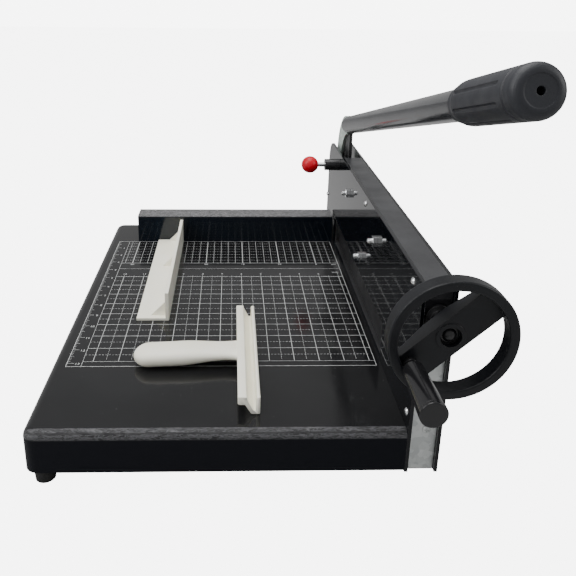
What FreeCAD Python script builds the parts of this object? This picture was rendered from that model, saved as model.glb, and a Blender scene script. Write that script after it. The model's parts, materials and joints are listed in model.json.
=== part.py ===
"""Guillotine stack paper cutter: a flat table beside a blade frame, with a lever, a clamp handwheel and loose stops.

Millimetres, +Z up. Origin: where the cutting line meets the fence face, on the table's top surface.
+X runs to the waste side of the blade, +Y behind the fence, and the operator stands at -Y.
"""
import FreeCAD, Part
import math
import os

# ---------------------------------------------------------------- driving dimensions
# what the machine takes: the longest cut, the opening's height and how far the clamp rises
cut_length = 325.0
opening_height = 40.0
opening_corner_radius = 6.0
clamp_rise = 38.0

# table, a folded sheet tray open underneath
table_width = 330.5
table_back = 77.0
table_height = 40.0
table_sheet = 1.5
table_edge_radius = 8.0
table_corner_radius = 12.0
table_flange = 28.0
rib_width = 44.0
rib_depth = 18.0
rib_front_inset = 99.0
rib_middle = 150.0
rib_back_inset = 34.2

# feet
foot_height = 20.0
foot_radius = 10.5
foot_inset = 13.0
foot_end_inset = 19.6
foot_screw_radius = 2.5
frame_foot_front = 49.0
frame_foot_back = 32.0
frame_foot_plate = 4.0
frame_foot_plate_length = 36.0

# blade frame, two side plates with the mechanism between them
frame_width = 29.0
frame_plate = 3.0
frame_drop = 2.0
frame_screw_room = 77.0
frame_head_room = 14.0
frame_back = 77.0
frame_corner_radius = 30.0
sheet_gap = 0.2
spacer_radius = 6.0
spacer_screw_radius = 3.0
spacer_front_inset = 60.0
spacer_back_inset = 11.0

# covers of the frame
cover_sheet = 1.5
cover_skirt = 13.5
cover_screw_rise = 4.0
cover_screw_y = -207.0
cover_start = 38.0
panel_sheet = 1.5
panel_recess = 4.0
panel_skirt = 10.0
panel_skirt_top = 60.0
rear_panel_top = 60.0

# back fence
fence_length = 285.0
fence_height = 39.6
fence_depth = 33.0
fence_sheet = 1.5
fence_corner_radius = 2.0
fence_plate_gap = 2.5

# bed and cutting stick under the blade
bed_depth = 34.0
stick_width = 10.0
stick_depth = 10.0
stick_offset = 1.0

# blade and its carrier
blade_thickness = 4.0
blade_height = 62.0
blade_bevel = 9.0
blade_rest_gap = 0.2
blade_overrun = 3.0
blade_draw = 16.0
blade_bolt_radius = 3.0
blade_bolt_height = 44.0
carrier_thickness = 6.0
carrier_bottom = 14.0
carrier_top = 80.0
carrier_front_margin = 10.0
carrier_bolt_radius = 4.0
carrier_bolt_height = 72.0
wear_strip_height = 10.0
wear_strip_bottom = 45.0
running_gap = 0.05

# lever: two plates and a lock sector, a tube and a grip
pivot_y = 34.0
pivot_z = 95.0
pivot_radius = 7.0
pivot_boss_radius = 14.0
pivot_bush_wall = 2.0
lever_swing = 62.0
drive_radius = 41.0
drive_pin_radius = 4.0
drive_roller_radius = 6.0
drive_end_radius = 9.0
drive_slot_clearance = 0.7
arm_plate = 3.0
arm_core = 4.0
arm_left_face = -6.8
tube_slope = 13.4
tube_start_y = -14.0
tube_start_z = 178.5
tube_radius = 12.0
tube_wall = 2.0
tube_length = 553.0
tongue_length = 45.0
tongue_height = 15.0
grip_start = 451.0
grip_length = 97.0
grip_radius = 16.2
grip_collar_radius = 14.0
grip_cap_length = 14.2
grip_cap_round = 6.0
grip_seam = 1.2
grip_flute_radius = 1.7
grip_flute_depth = 1.1
grip_flutes = 8
end_hole_radius = 2.6

# lock of the lever
lock_y = -18.0
lock_z = 123.0
lock_bush_length = 20.7
lock_bush_radius = 8.0
lock_pin_radius = 3.0
lock_travel = 8.6
lock_tip_gap = 1.2
lock_knob_radius = 11.8
lock_knob_reach = 20.7
lock_boss_radius = 10.0

# clamp bar, its draw-bar and its screw
clamp_thickness = 6.0
clamp_blade_gap = 0.6
clamp_bar_height = 24.0
clamp_rest_gap = 0.4
clamp_end_gap = 2.0
lift_pin_radius = 3.0
lift_pin_height = 77.0
lift_pin_back = 52.0
lift_pin_front_inset = 97.0
clamp_guide_inset = 119.7
clamp_guide_z = 63.4
clamp_guide_radius = 3.0
drawbar_thickness = 4.0
drawbar_gap = 0.3
drawbar_bottom = 69.5
drawbar_crown = 9.0
drawbar_back = 42.0
drawbar_front_inset = 15.0
drawbar_screw_radius = 3.0
drawbar_screw_z = 109.0
drawbar_screw_back = 106.6
drawbar_screw_front_inset = 51.7
lead_screw_x = 0.8
lead_screw_z = 108.5
lead_screw_radius = 6.0
lead_screw_overrun = 2.5
nut_length = 22.0
nut_wall = 2.95
nut_bolt_radius = 1.6
nut_bolt_gap = 0.4
nut_front_gap = 1.5
bearing_plate = 6.0
bearing_bush_wall = 3.0
bearing_flange = 3.0
bearing_flange_radius = 10.4

# handwheel and crank
wheel_radius = 50.0
wheel_rim_width = 7.8
wheel_rim_depth = 15.0
wheel_stand_off = 23.0
wheel_web_width = 27.0
wheel_web_thickness = 7.0
wheel_web_bulge = 8.0
wheel_web_angle = 43.0
wheel_hub_radius = 11.5
wheel_hub_length = 10.0
hub_recess_radius = 8.4
hub_recess_depth = 5.0
hub_washer = 1.2
hub_bolt_radius = 5.6
hub_bolt_height = 3.6
crank_offset = 37.2
crank_angle = 37.5
crank_pin_radius = 3.5
crank_collar_radius = 6.2
crank_collar_length = 9.6
crank_neck_radius = 4.8
crank_knob_length = 55.4
crank_knob_base_radius = 8.6
crank_knob_end_radius = 10.2
crank_cap_length = 3.0

# fasteners
adjuster_reach = 9.0
lock_nut_height = 5.0
lock_nut_flats = 9.0
small_screw_radius = 2.0
small_head_radius = 3.6
small_head_height = 2.2

# loose paper stop, an L section with gussets
stop_right = -236.0
stop_width = 36.5
stop_length = 242.0
stop_height = 34.0
stop_wall = 4.0
stop_flange = 3.0
stop_fence_gap = 0.5
stop_gusset = 18.0
stop_gusset_thickness = 2.5
loose_gap = 0.1

# loose paper pusher, a stepped bar with a palm handle
pusher_right = -140.0
pusher_front = -415.0
pusher_length = 175.0
pusher_top = 18.0
pusher_top_thickness = 8.0
pusher_top_width = 10.5
pusher_foot_width = 20.0
pusher_lip_height = 15.0
pusher_lip = 3.4
pusher_handle_y = -326.0
pusher_handle_length = 108.0
pusher_handle_half_width = 16.5
pusher_handle_half_height = 9.2

# ---------------------------------------------------------------- derived places
drawbar_top = lift_pin_height + clamp_rise + drawbar_crown
frame_height = drawbar_top + frame_head_room
frame_front = cut_length + frame_screw_room + clamp_rise
table_front = frame_front
rib_positions = (-(table_front - rib_front_inset), -rib_middle, table_back - rib_back_inset)
cover_screw_height = drawbar_top + cover_screw_rise
lift_pin_positions = (-lift_pin_back, -(cut_length - lift_pin_front_inset))
clamp_guide_y = -(cut_length - clamp_guide_inset)
drawbar_front = frame_front - drawbar_front_inset
drawbar_screw_positions = (-drawbar_screw_back, -(cut_length - drawbar_screw_front_inset))
wheel_back = frame_front + wheel_stand_off
half_frame = frame_width / 2
inner = half_frame - frame_plate
frame_bottom = -(table_height + frame_drop)
floor_z = -(table_height + foot_height)
table_right = -half_frame
table_left = table_right - table_width
stroke = 2 * drive_radius * math.sin(math.radians(lever_swing / 2))
arm_right_face = arm_left_face + 2 * arm_plate + arm_core
carrier_left = blade_thickness
carrier_right = blade_thickness + carrier_thickness
clamp_right = -clamp_blade_gap
clamp_left = clamp_right - clamp_thickness
drawbar_left = -inner + drawbar_gap
drawbar_right = drawbar_left + drawbar_thickness
wheel_front = wheel_back + wheel_web_thickness
hub_seat = -(wheel_front - hub_recess_depth)
crank_x = lead_screw_x - crank_offset * math.cos(math.radians(crank_angle))
crank_z = lead_screw_z - crank_offset * math.sin(math.radians(crank_angle))
pivot = (pivot_y, pivot_z)
drive_angle = math.radians(lever_swing / 2)
drive_y = pivot_y - drive_radius * math.cos(drive_angle)
drive_z = pivot_z - drive_radius * math.sin(drive_angle)
blade_back = blade_overrun
blade_front = -(cut_length + 3.0)
carrier_bolt_positions = (-62.0, -(cut_length - 62.0))
panel_y = -(frame_front - panel_recess)
bearing_front = panel_y + panel_sheet
bearing_back = bearing_front + bearing_plate
nut_front = -(drawbar_front - nut_front_gap)
nut_right = lead_screw_x + lead_screw_radius + nut_wall
nut_bolt_rise = lead_screw_radius + nut_bolt_gap + nut_bolt_radius
nut_half_height = nut_bolt_rise + nut_bolt_radius + 1.4
lead_screw_back = nut_front + nut_length + clamp_rise + lead_screw_overrun

X_AXIS = FreeCAD.Vector(1, 0, 0)
Y_AXIS = FreeCAD.Vector(0, 1, 0)
Z_AXIS = FreeCAD.Vector(0, 0, 1)


# ---------------------------------------------------------------- geometry helpers
def vec(x, y, z):
    return FreeCAD.Vector(x, y, z)


def block(x0, x1, y0, y1, z0, z1):
    """A box between two corners."""
    return Part.makeBox(x1 - x0, y1 - y0, z1 - z0, vec(x0, y0, z0))


def rod_x(y, z, radius, x0, x1):
    """A cylinder along X."""
    return Part.makeCylinder(radius, x1 - x0, vec(x0, y, z), X_AXIS)


def rod_y(x, z, radius, y0, y1):
    """A cylinder along Y."""
    return Part.makeCylinder(radius, y1 - y0, vec(x, y0, z), Y_AXIS)


def rod_z(x, y, radius, z0, z1):
    """A cylinder along Z."""
    return Part.makeCylinder(radius, z1 - z0, vec(x, y, z0), Z_AXIS)


def cone_y(x, z, radius0, radius1, y0, y1):
    """A tapered cylinder along Y."""
    return Part.makeCone(radius0, radius1, y1 - y0, vec(x, y0, z), Y_AXIS)


def prism_x(points, x0, x1):
    """A closed (y, z) polygon extruded along X."""
    corners = [vec(x0, y, z) for y, z in points]
    face = Part.Face(Part.makePolygon(corners + corners[:1]))
    return face.extrude(vec(x1 - x0, 0, 0))


def prism_y(points, y0, y1):
    """A closed (x, z) polygon extruded along Y."""
    corners = [vec(x, y0, z) for x, z in points]
    face = Part.Face(Part.makePolygon(corners + corners[:1]))
    return face.extrude(vec(0, y1 - y0, 0))


def slot_x(y0, z0, y1, z1, radius, x0, x1):
    """A round-ended slot from one (y, z) point to another, running through along X."""
    span_y = y1 - y0
    span_z = z1 - z0
    length = math.hypot(span_y, span_z)
    side_y = -span_z / length * radius
    side_z = span_y / length * radius
    corners = [(y0 + side_y, z0 + side_z), (y1 + side_y, z1 + side_z),
               (y1 - side_y, z1 - side_z), (y0 - side_y, z0 - side_z)]
    body = prism_x(corners, x0, x1)
    return body.fuse([rod_x(y0, z0, radius, x0, x1), rod_x(y1, z1, radius, x0, x1)]).removeSplitter()


def hex_x(y, z, flats, x0, x1):
    """A hexagonal prism along X, by its size across the flats."""
    reach = flats / math.sqrt(3)
    corners = [(y + reach * math.cos(math.radians(60 * i)), z + reach * math.sin(math.radians(60 * i)))
               for i in range(6)]
    return prism_x(corners, x0, x1)


def hex_bolt_x(y, z, radius, flats, head, x_tip, x_seat, side):
    """A hexagon-head bolt along X: shank from its tip to the seat, head standing off the seat."""
    shank = rod_x(y, z, radius, min(x_tip, x_seat), max(x_tip, x_seat))
    cap = hex_x(y, z, flats, min(x_seat, x_seat + side * head), max(x_seat, x_seat + side * head))
    return shank.fuse(cap)


def dome(centre, axis, radius, height):
    """A low dome-shaped head of the given radius and height standing on a point."""
    sphere_radius = (radius ** 2 + height ** 2) / (2 * height)
    sunk = sphere_radius - height
    base_angle = math.degrees(math.asin(sunk / sphere_radius))
    return Part.makeSphere(sphere_radius, centre - axis * sunk, axis, base_angle, 90, 360)


def along_tube(distance, offset=0.0):
    """The (y, z) point at a distance along the lever tube's axis and an offset above it."""
    slope = math.radians(tube_slope)
    y = tube_start_y - distance * math.cos(slope) + offset * math.sin(slope)
    z = tube_start_z + distance * math.sin(slope) + offset * math.cos(slope)
    return (y, z)


def tube_centre_x():
    return (arm_left_face + arm_right_face) / 2


def lever_axis():
    slope = math.radians(tube_slope)
    return vec(0, -math.cos(slope), math.sin(slope))


def revolve_on_tube(profile):
    """A closed (distance along the lever tube, radius) outline turned about the tube's axis."""
    x = tube_centre_x()
    corners = [vec(x, *along_tube(distance, radius)) for distance, radius in profile]
    face = Part.Face(Part.makePolygon(corners + corners[:1]))
    return face.revolve(vec(x, tube_start_y, tube_start_z), lever_axis(), 360)


def drill(shape, cutters):
    """A solid with a list of cutters taken away."""
    return shape.cut(list(cutters))


def fillet_where(shape, radius, chosen):
    """Rounds the edges that a test picks."""
    edges = [edge for edge in shape.Edges if chosen(edge)]
    return shape.makeFillet(radius, edges)


def edge_runs(edge, axis):
    """True for a straight edge that runs along an axis."""
    if not isinstance(edge.Curve, Part.Line):
        return False
    return abs(edge.tangentAt(edge.FirstParameter).dot(axis)) > 0.999


# ---------------------------------------------------------------- table
def table_body():
    """The folded tray: a rounded box, hollowed from below, with a flange turned in at the bottom."""
    def tray(inset, bottom, edge_radius, corner_radius):
        box = block(table_left + inset, table_right - inset, -table_front + inset, table_back - inset,
                    bottom, -inset)
        box = fillet_where(box, corner_radius,
                           lambda e: edge_runs(e, Z_AXIS) and e.CenterOfMass.x < table_left + inset + 1)
        return fillet_where(box, edge_radius,
                            lambda e: edge_runs(e, X_AXIS) and e.CenterOfMass.z > -inset - 1
                            and e.CenterOfMass.y < -table_front + inset + 1)
    outer = tray(0.0, -table_height, table_edge_radius, table_corner_radius)
    cavity = tray(table_sheet, table_sheet - table_height,
                  table_edge_radius - table_sheet, table_corner_radius - table_sheet)
    window = block(table_left + table_flange, table_right - table_flange,
                   -table_front + table_flange, table_back - table_flange,
                   -table_height - 1, table_sheet - table_height)
    holes = [rod_z(x, y, foot_screw_radius, -table_height - 1, -table_height + table_sheet + 1)
             for x, y in table_foot_places()]
    return drill(outer, [cavity, window] + holes)


def table_foot_places():
    """Centres of the two feet under the table's free edge."""
    x = table_left + foot_inset
    return [(x, -table_front + foot_end_inset), (x, table_back - foot_end_inset)]


def frame_foot_places():
    """Centres of the two feet under the blade frame."""
    return [(0.0, -frame_front + frame_foot_front), (0.0, frame_back - frame_foot_back)]


def table_ribs():
    """Channel stiffeners under the table top, open upwards, spanning from edge to edge."""
    ribs = []
    top = -table_sheet
    for y in rib_positions:
        outer = block(table_left + table_flange, table_right - table_sheet, y - rib_width / 2, y + rib_width / 2,
                      top - rib_depth, top)
        inside = block(table_left, table_right, y - rib_width / 2 + table_sheet, y + rib_width / 2 - table_sheet,
                       top - rib_depth + table_sheet, top + 1)
        ribs.append(outer.cut(inside))
    return Part.makeCompound(ribs)


def rubber_feet():
    """Four tapered rubber feet with a screw recess."""
    feet = []
    top = -table_height
    for x, y in table_foot_places() + frame_foot_places():
        foot = Part.makeCone(foot_radius - 1.5, foot_radius, foot_height, vec(x, y, floor_z), Z_AXIS)
        recess = rod_z(x, y, foot_screw_radius * 2, floor_z - 1, floor_z + foot_height * 0.4)
        feet.append(drill(foot, [recess, rod_z(x, y, foot_screw_radius, floor_z, top + 1)]))
    return Part.makeCompound(feet)


def foot_screws():
    """One pan-head screw in each foot."""
    screws = []
    seat = floor_z + foot_height * 0.4
    for index, (x, y) in enumerate(table_foot_places() + frame_foot_places()):
        grip = table_sheet if index < 2 else frame_foot_plate
        shank = rod_z(x, y, foot_screw_radius, seat, -table_height + grip)
        head = rod_z(x, y, foot_screw_radius * 1.8, seat - 2.5, seat)
        screws.append(shank.fuse(head))
    return Part.makeCompound(screws)


def frame_foot_plates():
    """Two short plates between the side plates that carry the frame's feet."""
    plates = []
    for x, y in frame_foot_places():
        plate = block(-inner, inner, y - frame_foot_plate_length / 2, y + frame_foot_plate_length / 2,
                      -table_height, frame_foot_plate - table_height)
        plates.append(drill(plate, [rod_z(x, y, foot_screw_radius, -table_height - 1, 0)]))
    return Part.makeCompound(plates)


# ---------------------------------------------------------------- fence
def fence_left():
    return fence_right() - fence_length


def fence_right():
    return -half_frame - fence_plate_gap


def back_fence():
    """A folded box section standing on the table, open underneath."""
    left = fence_left()
    right = fence_right()
    outer = fillet_where(block(left, right, 0, fence_depth, 0, fence_height), fence_corner_radius,
                         lambda e: edge_runs(e, X_AXIS) and e.CenterOfMass.z > fence_height - 1)
    cavity = block(left + fence_sheet, right - fence_sheet, fence_sheet, fence_depth - fence_sheet,
                   -1, fence_height - fence_sheet)
    foot = block(left + fence_sheet, right - fence_sheet, fence_sheet, fence_depth - fence_sheet, 0, fence_sheet * 2)
    holes = [rod_z(x, fence_depth / 2, small_screw_radius, -1, fence_sheet * 2 + 1) for x in fence_screw_places()]
    return drill(outer.cut(cavity).fuse(foot).removeSplitter(), holes)


def fence_screw_places():
    return [fence_left() + 40.0, (fence_left() + fence_right()) / 2, fence_right() - 40.0]


def fence_screws():
    """Screws that come up through the table top into the fence's foot."""
    screws = []
    for x in fence_screw_places():
        shank = rod_z(x, fence_depth / 2, small_screw_radius, -table_sheet, fence_sheet * 2)
        head = rod_z(x, fence_depth / 2, small_head_radius, -table_sheet - small_head_height, -table_sheet)
        screws.append(shank.fuse(head))
    return Part.makeCompound(screws)


def fence_screw_holes():
    return [rod_z(x, fence_depth / 2, small_screw_radius, -table_sheet - 1, 1) for x in fence_screw_places()]


# ---------------------------------------------------------------- blade frame
def spacer_places():
    """(y, z) of the round spacers that tie the two side plates."""
    front = -(frame_front - spacer_front_inset)
    return [(front, 40.0), (front, -20.0), (frame_back - spacer_back_inset, 24.0)]


def side_plate(x0, x1):
    """A side plate: a rectangle with a rounded top back corner and the paper opening."""
    sheet = block(x0, x1, -frame_front, frame_back, frame_bottom, frame_height)
    sheet = fillet_where(sheet, frame_corner_radius,
                         lambda e: edge_runs(e, X_AXIS) and e.CenterOfMass.y > frame_back - 1
                         and e.CenterOfMass.z > frame_height - 1)
    opening = block(x0 - 1, x1 + 1, -cut_length, 0.0, 0.0, opening_height)
    opening = fillet_where(opening, opening_corner_radius,
                           lambda e: edge_runs(e, X_AXIS) and e.CenterOfMass.z > opening_height - 1)
    return sheet.cut(opening)


def cover_screw_places():
    """(y, z) of the small screws that hold the top cover, on both plates."""
    return [(cover_screw_y, cover_screw_height), (-(frame_front - 28.0), cover_screw_height)]


def panel_screw_places():
    """(y, z) of the small screws that hold the front end panel, on both plates."""
    return [(panel_y + panel_skirt / 2 + panel_sheet, 13.0)]


def rear_screw_places():
    """(y, z) of the small screws that hold the rear panel."""
    return [(frame_back - panel_skirt / 2, rear_panel_top - 8.0)]


def small_screw_places():
    return cover_screw_places() + panel_screw_places() + rear_screw_places()


def bed_screw_places():
    return [(-30.0, -20.0), (-(cut_length - 30.0), -20.0)]


def left_side_plate():
    """The plate beside the table, with the adjusting screws and the lock bush."""
    plate = side_plate(-half_frame, -inner)
    x0 = -half_frame - 1
    x1 = -inner + 1
    holes = [rod_x(y, z, small_screw_radius, x0, x1) for y, z in small_screw_places()]
    holes += [rod_x(y, drawbar_screw_z, drawbar_screw_radius, x0, x1) for y in drawbar_screw_positions]
    holes.append(rod_x(clamp_guide_y, clamp_guide_z, clamp_guide_radius, x0, x1))
    holes.append(rod_x(lock_y, lock_z, lock_spigot_radius(), x0, x1))
    return drill(plate, holes)


def right_side_plate():
    """The plate on the waste side, with the bolts of the carrier, spacers, bed and pivot."""
    plate = side_plate(inner, half_frame)
    x0 = inner - 1
    x1 = half_frame + 1
    holes = [rod_x(y, z, small_screw_radius, x0, x1) for y, z in small_screw_places()]
    holes += [rod_x(y, z, spacer_screw_radius, x0, x1) for y, z in spacer_places() + bed_screw_places()]
    holes += [rod_x(y, carrier_bolt_height, carrier_bolt_radius, x0, x1) for y in carrier_bolt_positions]
    holes.append(rod_x(pivot_y, pivot_z, pivot_radius, x0, x1))
    return drill(plate, holes)


def frame_spacers():
    """Round bars between the side plates, tapped from the waste side."""
    bars = []
    for y, z in spacer_places():
        bar = rod_x(y, z, spacer_radius, -inner, inner)
        bars.append(bar.cut(rod_x(y, z, spacer_screw_radius, 0, inner + 1)))
    return Part.makeCompound(bars)


def frame_bolts():
    """Hexagon bolts on the waste side, into the spacers and the bed."""
    bolts = [hex_bolt_x(y, z, spacer_screw_radius, 10.0, 4.0, 0.5, half_frame, 1)
             for y, z in spacer_places()]
    bolts += [hex_bolt_x(y, z, spacer_screw_radius, 10.0, 4.0, 2.0, half_frame, 1)
              for y, z in bed_screw_places()]
    return Part.makeCompound(bolts)


def small_screws():
    """Small dome-head screws of the covers, on both side plates."""
    screws = []
    for y, z in small_screw_places():
        depth = cover_sheet + 1.5
        left = rod_x(y, z, small_screw_radius, -half_frame, -inner + depth)
        left_head = dome(vec(-half_frame, y, z), -X_AXIS, small_head_radius, small_head_height)
        right = rod_x(y, z, small_screw_radius, inner - depth, half_frame)
        right_head = dome(vec(half_frame, y, z), X_AXIS, small_head_radius, small_head_height)
        screws += [left.fuse(left_head), right.fuse(right_head)]
    return Part.makeCompound(screws)


def cover_front():
    return -(frame_front - panel_recess)


def under_cover():
    """The height that the pieces below the cover's skirts reach."""
    return frame_height - cover_skirt - cover_sheet - 0.5


def top_cover():
    """A folded channel that closes the frame's top, with its skirts inside the side plates."""
    half = inner - sheet_gap
    top = frame_height
    outer = block(-half, half, cover_front(), -cover_start, top - cover_skirt - cover_sheet, top)
    inside = block(-half + cover_sheet, half - cover_sheet, cover_front() + cover_sheet, -cover_start + 1,
                   top - cover_skirt - cover_sheet - 1, top - cover_sheet)
    channel = outer.cut(inside)
    draw_room = block(-half - 1, 0, bearing_back - 3.0, -cover_start + 1,
                      top - cover_skirt - cover_sheet - 1, drawbar_top + 1.0)
    holes = [rod_x(y, z, small_screw_radius, -half - 1, half + 1) for y, z in cover_screw_places()]
    return drill(channel, [draw_room] + holes)


def front_end_panel():
    """The end panel between the side plates, recessed, with the screw's bearing hole."""
    half = inner - sheet_gap
    face = block(-half, half, panel_y, panel_y + panel_sheet, frame_bottom, under_cover())
    skirts = [block(-half, -half + panel_sheet, panel_y, panel_y + panel_skirt, frame_bottom, panel_skirt_top),
              block(half - panel_sheet, half, panel_y, panel_y + panel_skirt, frame_bottom, panel_skirt_top)]
    shape = face.fuse(skirts).removeSplitter()
    hole = rod_y(lead_screw_x, lead_screw_z, bush_outer_radius(), panel_y - 1, panel_y + 5)
    screws = [rod_x(y, z, small_screw_radius, -half - 1, half + 1) for y, z in panel_screw_places()]
    return drill(shape, [hole] + screws)


def rear_panel():
    """The low panel that closes the back of the frame under the lever."""
    half = inner - sheet_gap
    face = block(-half, half, frame_back - panel_sheet, frame_back, frame_bottom, rear_panel_top)
    skirts = [block(-half, -half + panel_sheet, frame_back - panel_skirt, frame_back, 32.0, rear_panel_top),
              block(half - panel_sheet, half, frame_back - panel_skirt, frame_back, 32.0, rear_panel_top)]
    screws = [rod_x(y, z, small_screw_radius, -half - 1, half + 1) for y, z in rear_screw_places()]
    return drill(face.fuse(skirts).removeSplitter(), screws)


def bed_rail():
    """The bar under the blade that carries the cutting stick."""
    bar = block(-inner, inner, -cut_length, 0.0, -bed_depth, 0.0)
    groove = block(stick_offset - stick_width / 2, stick_offset + stick_width / 2,
                   -cut_length - 1, 1.0, -stick_depth, 1.0)
    screws = [rod_x(y, z, spacer_screw_radius, 2.0, inner + 1) for y, z in bed_screw_places()]
    return drill(bar, [groove] + screws)


def cutting_stick():
    """The square plastic stick that the blade closes on."""
    return block(stick_offset - stick_width / 2, stick_offset + stick_width / 2,
                 -cut_length, 0.0, -stick_depth, 0.0)


# ---------------------------------------------------------------- blade
def blade():
    """A flat blade with one ground bevel on the waste side."""
    low = blade_rest_gap
    top = low + blade_height
    section = [(0.0, low), (blade_thickness, low + blade_bevel), (blade_thickness, top), (0.0, top)]
    return drill(prism_y(section, blade_front, blade_back), blade_bolt_cutters())


def blade_bolt_places():
    count = 4
    first = -30.0
    last = blade_front + 30.0
    return [(first + (last - first) * i / (count - 1), blade_bolt_height) for i in range(count)]


def blade_bolt_cutters():
    """The countersunk bolts' own shapes, which the blade and its carrier are drilled with."""
    return [blade_bolt(y, z) for y, z in blade_bolt_places()]


def blade_bolt(y, z):
    shank = rod_x(y, z, blade_bolt_radius, 0.3, carrier_right - 0.5)
    head = Part.makeCone(blade_bolt_radius * 1.9, blade_bolt_radius, 2.6, vec(0.3, y, z), X_AXIS)
    return shank.fuse(head)


def blade_bolts():
    """Countersunk bolts, just under the blade's face."""
    return Part.makeCompound(blade_bolt_cutters())


def drive_slot_span():
    """How far forward the drive roller lies in the carrier's slot at rest, and how far back at the top."""
    middle = pivot_y - drive_radius + blade_draw / 2
    return min(drive_y, middle) - 1.0, drive_y + blade_draw + 1.0


def blade_carrier():
    """The bar that the blade is bolted to, with slanted guide slots and a level slot for the lever's roller."""
    x0 = carrier_left
    x1 = carrier_right
    front = blade_front - carrier_front_margin
    body = block(x0, x1, front, blade_back, carrier_bottom, carrier_top)
    low, high = drive_slot_span()
    slot_radius = drive_roller_radius + drive_slot_clearance
    ear = slot_x(blade_back - 10.0, drive_z, high, drive_z, slot_radius + 6.0, x0, x1)
    slots = [slot_x(y, carrier_bolt_height, y + blade_draw, carrier_bolt_height - stroke,
                    carrier_bolt_radius + running_gap, x0 - 1, x1 + 1) for y in carrier_bolt_positions]
    slots.append(slot_x(low, drive_z, high, drive_z, slot_radius, x0 - 1, x1 + 1))
    return drill(body.fuse(ear).removeSplitter(), slots + blade_bolt_cutters())


def carrier_guide_bolts():
    """Shoulder bolts through the waste-side plate that the carrier's slots run on."""
    bolts = [hex_bolt_x(y, carrier_bolt_height, carrier_bolt_radius, 13.0, 5.5,
                        carrier_left + 0.3, half_frame, 1) for y in carrier_bolt_positions]
    return Part.makeCompound(bolts)


def carrier_wear_strips():
    """Two bronze strips on the waste-side plate that the carrier slides against."""
    x0 = carrier_right + running_gap
    middle = (carrier_bolt_positions[0] + carrier_bolt_positions[1]) / 2
    strips = [block(x0, inner, -cut_length + 5.0, middle - 20.0, wear_strip_bottom,
                    wear_strip_bottom + wear_strip_height),
              block(x0, inner, middle + 20.0, -5.0, wear_strip_bottom,
                    wear_strip_bottom + wear_strip_height)]
    return Part.makeCompound(strips)


# ---------------------------------------------------------------- lever
def arm_outline(x0, x1):
    """The curved arm: a boss on the pivot, a neck that sweeps up and forward, and a short drive end."""
    boss = pivot_boss_radius
    foot_back = vec(x0, pivot_y + boss, pivot_z)
    foot_front = vec(x0, pivot_y - boss, pivot_z)
    top = vec(x0, *along_tube(0.0, tube_radius))
    chin = vec(x0, *along_tube(0.0, -tube_radius))
    back_middle = vec(x0, pivot_y + 9.5, pivot_z + 62.0)
    front_middle = vec(x0, pivot_y - 18.0, pivot_z + 44.0)
    edges = [Part.makeLine(foot_front, foot_back),
             Part.Arc(foot_back, back_middle, top).toShape(),
             Part.makeLine(top, chin),
             Part.Arc(chin, front_middle, foot_front).toShape()]
    neck = Part.Face(Part.Wire(edges)).extrude(vec(x1 - x0, 0, 0))
    drive = slot_x(pivot_y, pivot_z, drive_y, drive_z, drive_end_radius, x0, x1)
    tongue = prism_x([along_tube(-4.0, tongue_height / 2), along_tube(tongue_length, tongue_height / 2),
                      along_tube(tongue_length, -tongue_height / 2), along_tube(-4.0, -tongue_height / 2)], x0, x1)
    whole = neck.fuse([rod_x(pivot_y, pivot_z, boss, x0, x1), drive, tongue])
    return whole.removeSplitter()


def bush_radius():
    return pivot_radius + pivot_bush_wall


def arm_plate_solid(x0, x1):
    """One outer plate of the arm, bored for the pivot bush and the drive pin."""
    shape = arm_outline(x0, x1)
    return drill(shape, arm_bores(x0, x1))


def arm_bores(x0, x1):
    """The bores that all three plates of the arm share."""
    return [rod_x(pivot_y, pivot_z, bush_radius(), x0 - 1, x1 + 1),
            rod_x(drive_y, drive_z, drive_pin_radius, x0 - 1, x1 + 1), tube_pin_shape()]


def lever_arm_left():
    return arm_plate_solid(arm_left_face, arm_left_face + arm_plate)


def lever_arm_right():
    return arm_plate_solid(arm_right_face - arm_plate, arm_right_face)


def lock_sector():
    """The core plate of the arm: it reaches forward to the hole that the lock pin enters."""
    x0 = arm_left_face + arm_plate
    x1 = arm_right_face - arm_plate
    chin_y, chin_z = along_tube(10.0, -tube_radius - 0.3)
    reach = prism_x([(pivot_y, pivot_z), (pivot_y - 6.0, pivot_z + 62.0), (tube_start_y + 8.0, chin_z - 6.0),
                     (chin_y, chin_z), (lock_y - lock_boss_radius, lock_z), (lock_y, lock_z - lock_boss_radius)],
                    x0, x1)
    shape = arm_outline(x0, x1).fuse([reach, rod_x(lock_y, lock_z, lock_boss_radius, x0, x1)]).removeSplitter()
    lock_hole = rod_x(lock_y, lock_z, lock_pin_radius + running_gap, x0 - 1, x1 + 1)
    return drill(shape, arm_bores(x0, x1) + [lock_hole])


def lever_tube():
    """The round tube over the arm's tongue."""
    outline = [(0.0, tube_radius - tube_wall), (tube_length, tube_radius - tube_wall),
               (tube_length, tube_radius), (0.0, tube_radius)]
    return drill(revolve_on_tube(outline), [tube_pin_shape()])


def tube_pin_shape():
    """The cross pin that holds the tube on the tongue."""
    y, z = along_tube(tongue_length * 0.6)
    return rod_x(y, z, 2.0, tube_centre_x() - tube_radius + 0.8, tube_centre_x() + tube_radius - 0.8)


def lever_grip():
    """The plastic grip: a round shoulder, a fluted body and a bore for the tube."""
    start = grip_start
    end = grip_start + grip_length
    bore = tube_radius
    outline = [(start, bore), (start, grip_collar_radius - 1.0), (start + 1.0, grip_collar_radius),
               (start + 6.0, grip_collar_radius), (start + 8.0, grip_collar_radius + 0.9),
               (start + 11.0, grip_radius - 0.7), (start + 14.0, grip_radius - 0.2), (start + 18.0, grip_radius),
               (end - 1.0, grip_radius), (end, grip_radius - 1.0), (end, bore)]
    body = revolve_on_tube(outline)
    return drill(body, grip_flute_cutters())


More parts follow.
